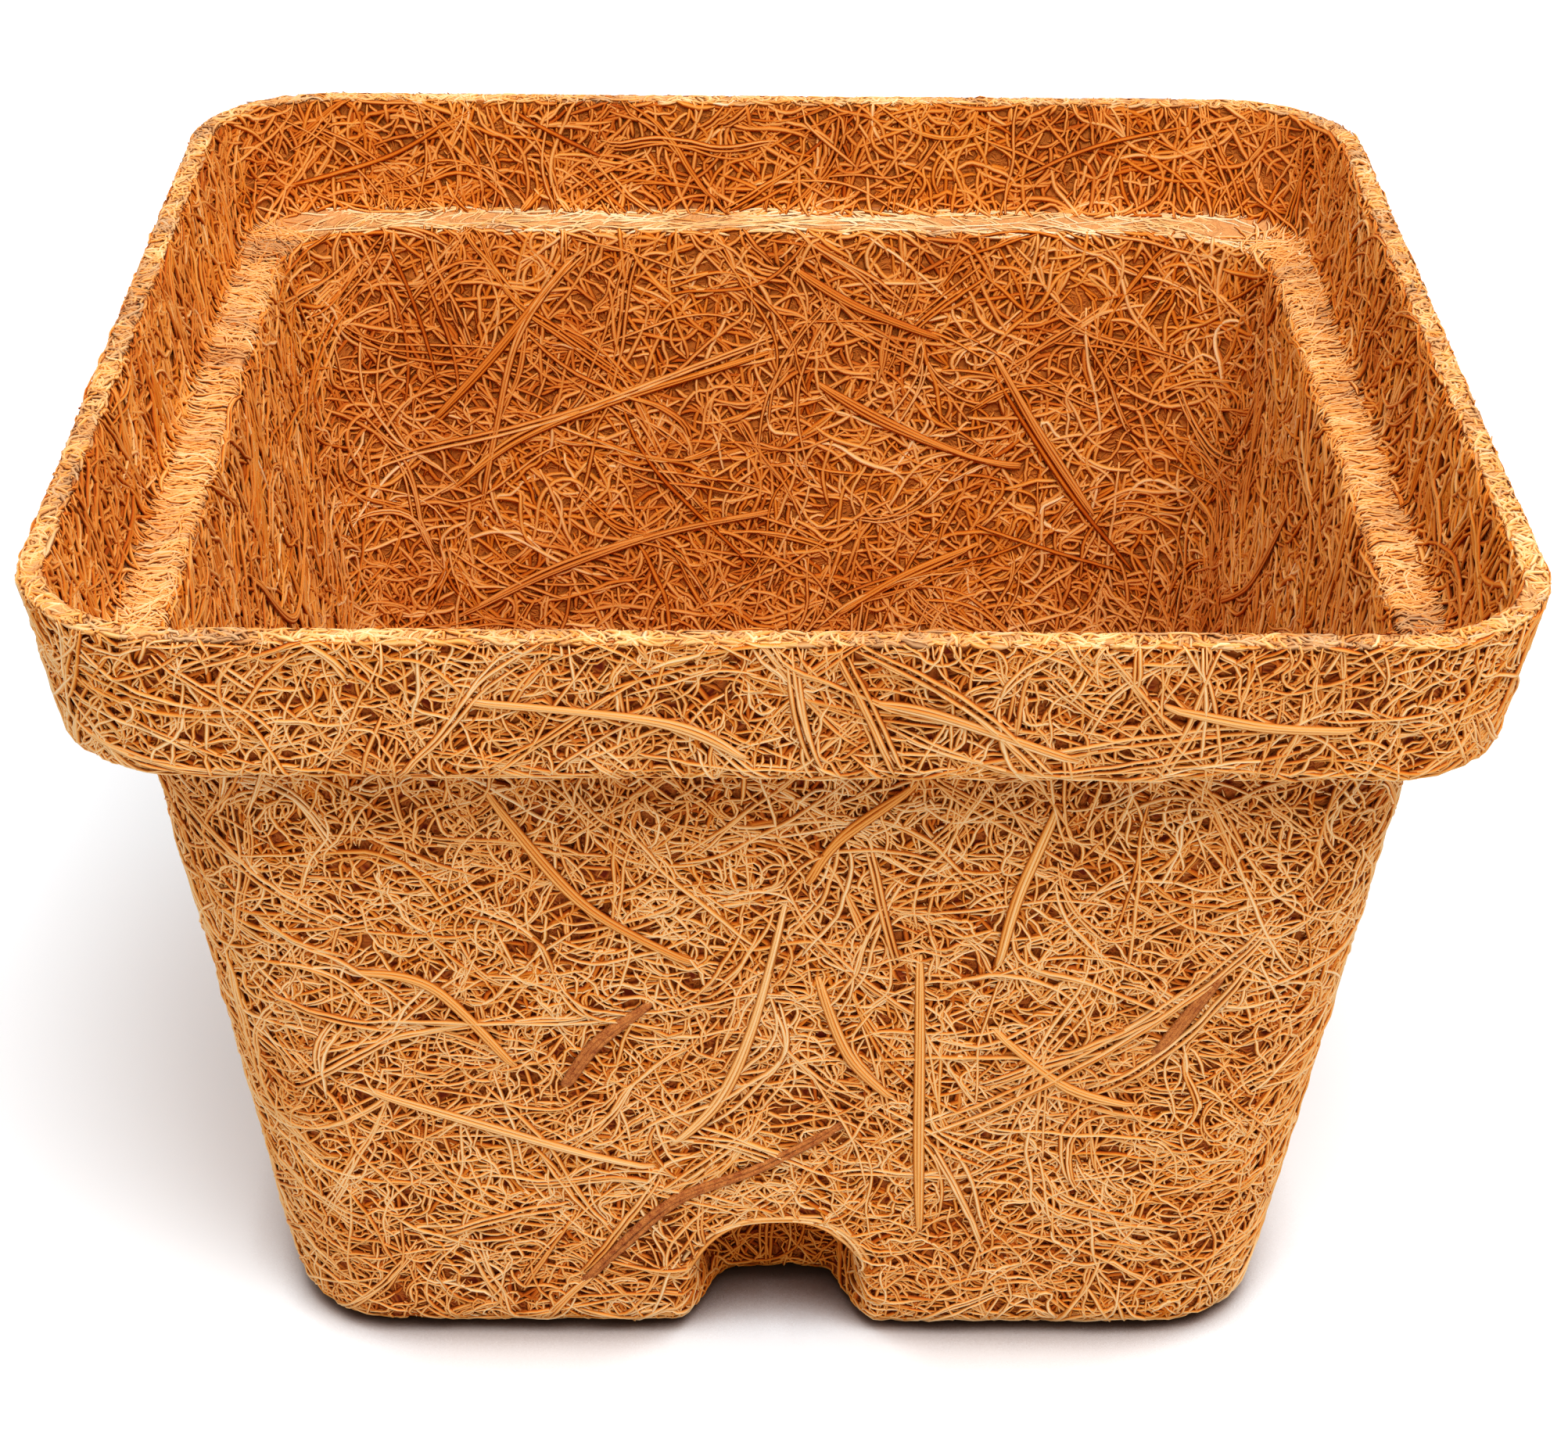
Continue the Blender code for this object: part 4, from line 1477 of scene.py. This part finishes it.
def coats() -> list[Coat]:
    """Every stretch of the felt's skin with its fibres."""
    pieces = []
    wide = (0.36 * MM, 0.58 * MM)
    deep = replace(DEEP, cover=0.9, edge=0.25, tone=(0.4, 0.6), hue=(0.0, 0.25))
    inner = replace(NET, cover=1.0, width=wide, curl=(100.0, 600.0), flat=0.32, edge=0.42, tone=(0.52, 0.8),
                    hue=(0.1, 0.45))
    straight = replace(MESH, cover=0.7, width=wide, flat=0.34, edge=0.38, tone=(0.5, 0.76), hue=(0.0, 0.5))
    inner_fill = replace(inner, cover=1.2, length=FILL.length, lift=FILL.lift, tone=(0.46, 0.72), fills=True)
    inner_sheaf = replace(SHEAF, cover=0.3, tone=(0.54, 0.78), hue=(0.0, 0.35))
    outside, within = (DEEP, NET, MESH, FILL), (deep, inner, straight, inner_fill)
    step = tuple(replace(family, tone=(family.tone[0] - 0.04, family.tone[1] - 0.06))
                 for family in within + (inner_sheaf,))
    for side in SIDES:
        for name, region, families, reaches, band in (
                ("wall_low_net", Region.WALL, outside, (Region.BASE,), (0.0, 0.46)),
                ("wall_middle_net", Region.WALL, outside, (), (0.46, 0.73)),
                ("wall_high_net", Region.WALL, outside, (), (0.73, 1.0)),
                ("wall_sheaves", Region.WALL, (SHEAF,), (), (0.0, 1.0)),
                ("collar_fibres", Region.COLLAR, outside + (SHEAF,), (), (0.0, 1.0)),
                ("inside_low_net", Region.INSIDE, within, (Region.FLOOR,), (0.48, 1.0)),
                ("inside_high_net", Region.INSIDE, within, (), (0.0, 0.48)),
                ("inside_sheaves", Region.INSIDE, (inner_sheaf,), (), (0.0, 1.0)),
                ("collar_inside_fibres", Region.COLLAR_INSIDE, step, (), (0.0, 1.0))):
            pieces.append(Coat(f"{side}_{name}", region, families, side, reaches, band))
    hem = Family(cover=1.0, length=(10 * MM, 26 * MM), lift=(-0.1 * MM, 0.05 * MM), curl=(10.0, 50.0),
                 calm=4.0 * MM, hold=20 * MM, crowd=4, step=0.8 * MM, tone=(0.7, 0.9),
                 comb=math.pi / 2, stray=0.12)
    pieces.append(Coat("collar_hem", Region.COLLAR, (hem,), band=(0.0, 0.22)))
    plain = replace(NET, cover=1.2, width=(0.36 * MM, 0.54 * MM), step=0.8 * MM)
    pieces.append(Coat("shoulder_fibres", Region.SHOULDER, (DEEP, plain)))
    trimmed = Family(cover=2.6, length=(1.2 * MM, 3 * MM), width=(0.3 * MM, 0.5 * MM), sway=0.01 * MM,
                     lift=(-0.16 * MM, -0.1 * MM), dive=0.04 * MM, flat=0.28, edge=0.34, step=0.45 * MM,
                     tone=(0.5, 0.84), hue=(0.5, 0.85), comb=math.pi / 2, stray=1.0)
    pieces.append(Coat("rim_fibres", Region.RIM, (trimmed,), lap=0))
    combed = Family(cover=2.3, length=(4 * MM, 9 * MM), width=(0.26 * MM, 0.4 * MM), sway=0.02 * MM,
                    lift=(-0.18 * MM, -0.06 * MM), curl=(60.0, 300.0), dive=0.08 * MM, flat=0.4, edge=0.56,
                    tone=(0.48, 0.84), hue=(0.5, 0.8), comb=0.1, stray=0.24)
    lengthways = replace(combed, length=(5 * MM, 12 * MM), comb=math.pi / 2, stray=0.16, curl=(20.0, 200.0),
                         flat=0.18, edge=0.14, tone=(0.7, 0.9), hue=(0.4, 0.75), lift=(-0.16 * MM, -0.1 * MM))
    for side in SIDES:
        family = lengthways if side in ("front", "back") else combed
        pieces.append(Coat(f"{side}_ledge_fibres", Region.LEDGE, (family,), side, lap=1))
    pieces.append(Coat("floor_fibres", Region.FLOOR, (deep, plain)))
    pieces.append(Coat("base_fibres", Region.BASE, (DEEP, plain)))
    return pieces


# Start and end in millimetres, bend and number of fibres, then width, tone and hue where they differ
BOLD_FIBRES = tuple(LooseFibre(region, side, *row) for region, side, rows in (
    (Region.WALL, "front", (
        ((5.8, 47.9), (9.3, 37.3), 8.0, 2),
        ((10.7, 20.2), (16.3, 8.9), -10.0, 2),
        ((27.4, 33.5), (20.0, 27.5), 12.0, 2),
        ((34.0, 42.0), (17.7, 12.0), 0.0, 3),
        ((33.0, 38.0), (21.0, 25.5), -35.0, 2),
        ((-36.0, 34.0), (-28.0, 31.2), 8.0, 2),
        ((-35.0, 24.5), (-27.0, 31.0), 0.0, 2),
        ((-8.2, 17.2), (-13.8, 6.0), 0.0, 2),
        ((-24.3, 10.5), (-15.7, 15.3), -6.0, 2),
    )),
    (Region.COLLAR, "front", (
        ((4.7, 66.2), (20.0, 57.7), -18.0, 3),
        ((0.5, 66.3), (0.7, 56.6), 0.0, 3),
        ((3.1, 66.3), (8.1, 56.8), 5.0, 3),
    )),
    (Region.INSIDE, "back", (
        ((13.9, 43.0), (8.6, 22.5), 6.0, 1, 0.42 * MM, 0.5, 0.02),
        ((34.2, 56.0), (30.2, 42.5), -14.0, 1, 0.42 * MM, 0.5, 0.02),
        ((-18.0, 30.7), (-32.0, 26.4), 4.0, 1, 0.42 * MM, 0.55, 0.05),
        ((-18.5, 46.0), (-33.0, 26.0), 9.0, 1, 0.5 * MM, 0.5, 0.02),
        ((17.2, 55.0), (36.5, 36.0), 12.0, 2, 0.45 * MM, 0.8, 0.25),
        ((-1.0, 48.0), (38.0, 32.0), 5.0, 2, 0.45 * MM, 0.8, 0.25),
    )),
    (Region.COLLAR_INSIDE, "back", (
        ((28.6, 66.0), (44.0, 58.9), -22.0, 1, 0.5 * MM, 0.48, 0.02),
        ((23.4, 66.2), (16.0, 60.0), -30.0, 1, 0.45 * MM, 0.5, 0.05),
        ((-36.0, 65.5), (-20.0, 60.0), 20.0, 1, 0.42 * MM, 0.5, 0.05),
    )),
) for row in rows)


# Routes of the long strands: shares across the flat of the side, -1 to 1, and up it, 0 to 1
BODY_STRANDS = {
    "front": [
        [(-0.98, 0.44), (-0.52, 0.33), (-0.30, 0.29)],
        [(-0.94, 0.65), (-0.76, 0.62), (-0.60, 0.47)],
        [(-0.60, 0.96), (-0.42, 0.77), (-0.18, 0.66)],
        [(0.01, 0.77), (-0.06, 0.56), (-0.14, 0.42), (-0.26, 0.33)],
        [(0.08, 0.64), (0.16, 0.50), (0.27, 0.42)],
        [(0.27, 0.97), (0.12, 0.88), (0.05, 0.80)],
        [(0.30, 0.68), (0.33, 0.40), (0.36, 0.16)],
        [(0.55, 0.93), (0.50, 0.80), (0.47, 0.66)],
        [(0.48, 0.55), (0.66, 0.45), (0.84, 0.41)],
    ],
    "right": [
        [(-0.85, 0.30), (-0.45, 0.52), (-0.10, 0.60)],
        [(-0.75, 0.90), (-0.40, 0.80), (-0.05, 0.84)],
        [(0.15, 0.35), (0.30, 0.60), (0.36, 0.90)],
        [(0.50, 0.25), (0.72, 0.48), (0.92, 0.56)],
        [(0.52, 0.86), (0.72, 0.78), (0.92, 0.75)],
    ],
    "back": [
        [(-0.90, 0.72), (-0.55, 0.84), (-0.20, 0.82)],
        [(-0.80, 0.20), (-0.50, 0.42), (-0.28, 0.55)],
        [(-0.02, 0.36), (0.05, 0.60), (0.00, 0.90)],
        [(0.25, 0.92), (0.48, 0.66), (0.88, 0.58)],
        [(0.30, 0.36), (0.60, 0.36), (0.88, 0.22)],
    ],
    "left": [
        [(-0.88, 0.55), (-0.60, 0.78), (-0.40, 0.94)],
        [(-0.70, 0.22), (-0.40, 0.40), (-0.08, 0.46)],
        [(-0.15, 0.62), (0.15, 0.72), (0.50, 0.66)],
        [(0.30, 0.36), (0.60, 0.34), (0.84, 0.46)],
        [(0.55, 0.94), (0.74, 0.89), (0.92, 0.82)],
    ],
}
COLLAR_STRANDS = {
    "front": [
        [(-0.55, 0.55), (-0.20, 0.38), (-0.06, 0.08)],
        [(0.14, 0.55), (0.26, 0.44), (0.50, 0.06)],
        [(0.62, 0.52), (0.78, 0.38), (0.95, 0.34)],
    ],
    "right": [[(-0.60, 0.20), (-0.10, 0.50), (0.45, 0.55)]],
    "back": [
        [(-0.85, 0.50), (-0.40, 0.22), (-0.10, 0.25)],
        [(0.15, 0.50), (0.50, 0.32), (0.85, 0.50)],
    ],
    "left": [[(-0.50, 0.52), (0.05, 0.30), (0.62, 0.42)]],
}
INSIDE_STRANDS = {
    "front": [[(-0.60, 0.60), (-0.20, 0.74), (0.30, 0.72)]],
    "right": [
        [(-0.80, 0.40), (-0.45, 0.64), (-0.30, 0.90)],
        [(0.20, 0.86), (0.45, 0.64), (0.80, 0.50)],
    ],
    "back": [
        [(0.53, 0.97), (0.75, 0.81), (0.96, 0.68)],
        [(0.00, 0.81), (0.46, 0.72), (0.73, 0.65), (0.93, 0.56)],
        [(-0.02, 0.53), (0.31, 0.49), (0.65, 0.42), (0.96, 0.33)],
        [(-0.59, 0.81), (-0.74, 0.67), (-0.93, 0.52)],
        [(-0.10, 0.76), (-0.30, 0.69), (-0.54, 0.63), (-0.70, 0.61)],
        [(-0.05, 0.95), (-0.21, 0.89), (-0.46, 0.83)],
        [(-0.19, 0.34), (-0.38, 0.41), (-0.60, 0.47)],
    ],
    "left": [
        [(-0.75, 0.70), (-0.30, 0.62), (0.05, 0.80)],
        [(0.35, 0.42), (0.55, 0.62), (0.85, 0.72)],
    ],
}
BARK_SLIVERS = {
    "front": [
        [(-0.28, 0.60), (-0.42, 0.52), (-0.50, 0.44)],
        [(0.97, 0.66), (0.91, 0.58), (0.85, 0.50)],
        [(0.17, 0.38), (-0.05, 0.29), (-0.25, 0.23), (-0.41, 0.13), (-0.52, 0.05)],
    ],
    "back": [[(0.36, 0.50), (0.58, 0.50), (0.80, 0.42)]],
}


@dataclass
class LongStrands:
    """All of the part's long strands and bark slivers, dressed as ribbons."""

    form: PotForm
    strand_width: float = 0.8 * MM
    bark_width: float = 1.0 * MM

    def listed(self) -> list[LongStrand]:
        """Each strand with its face, route, width and kind."""
        wall, collar = Ground(self.form, Region.WALL, 1), Ground(self.form, Region.COLLAR, 1)
        inside = Ground(self.form, Region.INSIDE, -1)
        sets = (
            ("wall_strand", wall, BODY_STRANDS, self.strand_width, Kind.STRAND),
            ("collar_strand", collar, COLLAR_STRANDS, self.strand_width, Kind.STRAND),
            ("inside_strand", inside, INSIDE_STRANDS, self.strand_width, Kind.STRAND),
            ("bark_sliver", wall, BARK_SLIVERS, self.bark_width, Kind.BARK),
        )
        strands = []
        for prefix, ground, routes, width, kind in sets:
            for side, lines in routes.items():
                for number, route in enumerate(lines, 1):
                    strands.append(LongStrand(f"{side}_{prefix}_{number}", ground, side, route, width, kind))
        return strands

    def build(self, weaver: Weaver, dress: dict[Kind, Material], rng: Rng) -> None:
        """Makes a ribbon for each strand and lets it stand for the part's node."""
        for strand in self.listed():
            piece = weaver.piece(f"{strand.name}_ribbon", [strand.paths(rng)], dress[strand.kind])
            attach(piece, "root")
            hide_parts(strand.name)
        LOG.info("%d long strands", len(self.listed()))


@dataclass
class Studio:
    """Plain white sweep, soft light and the camera, at the photograph's angle."""

    place: tuple[float, float, float] = (-2.695 * MM, -234.10 * MM, 168.73 * MM)
    pitch: float = 0.5277
    yaw: float = 0.0140
    roll: float = 0.0123
    focal: float = 4304.8
    image_width: float = 2005.0
    sensor: float = 36.0
    horizon: float = 0.3
    zenith: float = 1.35
    key_place: tuple[float, float, float] = (0.13, -0.34, 0.68)
    key_size: float = 0.4
    key_watts: float = 4.1
    paper: float = 0.68
    paper_half: float = 3.0
    paper_drop: float = 0.02 * MM
    # painted contact shadow on the floor: how far the occlusion node looks, the openness over which it fades,
    # and its colours from dark to the paper's own
    painted_shadow_reach: float = 10.5 * MM
    painted_shadow_span: Span = (0.2, 0.67)
    painted_shadow_colours: tuple[str, ...] = ("#4c382c", "#a8948a", "#f8fcff")

    def camera(self) -> None:
        """The camera: it looks down at the pot from in front."""
        fwd = Vector((math.sin(self.yaw) * math.cos(self.pitch), math.cos(self.yaw) * math.cos(self.pitch),
                      -math.sin(self.pitch)))
        right = Vector((math.cos(self.yaw), -math.sin(self.yaw), 0.0))
        up = right.cross(fwd)
        c, s = math.cos(self.roll), math.sin(self.roll)
        right, up = c * right + s * up, c * up - s * right
        data = bpy.data.cameras.new("camera")
        data.sensor_fit = "HORIZONTAL"
        data.sensor_width = self.sensor
        data.lens = self.focal / self.image_width * self.sensor
        data.clip_start = 10 * MM
        camera = bpy.data.objects.new("camera", data)
        turn = Matrix((right, up, -fwd)).transposed().to_4x4()
        camera.matrix_world = Matrix.Translation(self.place) @ turn
        bpy.context.scene.collection.objects.link(camera)
        bpy.context.scene.camera = camera

    def lamp(self, name: str, place: tuple[float, float, float], size: float, watts: float) -> None:
        """A square softbox that faces the pot."""
        data = bpy.data.lights.new(name, "AREA")
        data.shape = "SQUARE"
        data.size = size
        data.energy = watts
        lamp = bpy.data.objects.new(name, data)
        way = Vector((0.0, 0.0, 30 * MM)) - Vector(place)
        lamp.matrix_world = Matrix.Translation(place) @ way.to_track_quat("-Z", "Y").to_matrix().to_4x4()
        bpy.context.scene.collection.objects.link(lamp)

    def seen(self, tree: Tree) -> Socket:
        """1 for rays of the camera and for those that gloss and glass send on, else 0."""
        path = add(tree, "ShaderNodeLightPath")
        total = path.outputs["Is Camera Ray"]
        for name in ("Is Glossy Ray", "Is Transmission Ray"):
            total = calc(tree, "ADD", total, path.outputs[name], use_clamp=True)
        return total

    def world(self) -> None:
        """White all round for the camera, and a dome, brightest overhead, that lights the pot."""
        world = bpy.data.worlds.new("white_studio")
        world.use_nodes = True
        tree = world.node_tree
        back = tree.nodes["Background"]
        back.inputs["Color"].default_value = (1.0, 1.0, 1.0, 1.0)
        way = add(tree, "ShaderNodeSeparateXYZ", {0: add(tree, "ShaderNodeTexCoord").outputs["Generated"]})
        dome = remap(tree, way.outputs["Z"], onto=(self.horizon, self.zenith))
        tree.links.new(remap(tree, self.seen(tree), onto=(dome, 1.0)), back.inputs["Strength"])
        bpy.context.scene.world = world

    def floor(self) -> None:
        """Matt white paper, which goes on to the horizon and keeps the pot's shadow, with a painted contact
        shadow near the pot that an occlusion node draws into its colour.
        """
        half = self.paper_half
        verts = np.array([(-half, -half, 0.0), (half, -half, 0.0), (half, half, 0.0), (-half, half, 0.0)])
        material, tree = new_material("matt_white_paper")
        tree.nodes.remove(tree.nodes["Principled BSDF"])
        # painted shadow: the less open sky a floor point has near the pot, the darker its colour is made
        open_sky = add(tree, "ShaderNodeAmbientOcclusion", {"Distance": self.painted_shadow_reach}, samples=8)
        near = remap(tree, open_sky.outputs["AO"], self.painted_shadow_span, interpolation_type="SMOOTHSTEP")
        share = remap(tree, self.seen(tree), onto=(self.paper, 1.0))
        tint = vector(tree, "SCALE", {0: ramp(tree, near, self.painted_shadow_colours), "Scale": share})
        matt = add(tree, "ShaderNodeBsdfDiffuse", {"Color": tint.outputs[0]})
        tree.links.new(matt.outputs[0], tree.nodes["Material Output"].inputs["Surface"])
        floor = mesh_object("floor", verts - np.array([0.0, 0.0, self.paper_drop]), np.array([[0, 1, 2, 3]]),
                            np.zeros((0, 3), int), material)

    def build(self) -> None:
        """Sets the studio up."""
        self.camera()
        self.world()
        self.floor()
        self.lamp("key_softbox", self.key_place, self.key_size, self.key_watts)


def main() -> None:
    """Builds the pot's looks piece by piece."""
    logging.basicConfig(level=logging.INFO, format="%(message)s")
    bpy.context.scene.view_settings.view_transform = "Standard"
    Studio().build()
    rng = np.random.default_rng(FIBRE_SEED)
    _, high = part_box("pot_shell")
    form = PotForm(height=high.z, rim_half=high.x)
    skin = PotSkin(form)
    LOG.info("skin of %d by %d points", *skin.points.shape[:2])
    weaver = Weaver(skin)
    FeltCore(skin, LatexFelt().make()).build(rng)
    LOG.info("felt core")
    fibre = CoirFibre().make()
    for coat in coats():
        coat.build(weaver, fibre, rng)
    NotchHems(form).build(weaver, fibre, rng)
    LooseFibres(BOLD_FIBRES).build(weaver, fibre, rng)
    LongStrands(form).build(weaver, {Kind.STRAND: fibre, Kind.BARK: HuskBark().make()}, rng)
    faces = sum(len(obj.data.polygons) for obj in bpy.context.scene.objects if obj.type == "MESH")
    LOG.info("%d faces in all", faces)


if __name__ == "__main__":
    main()
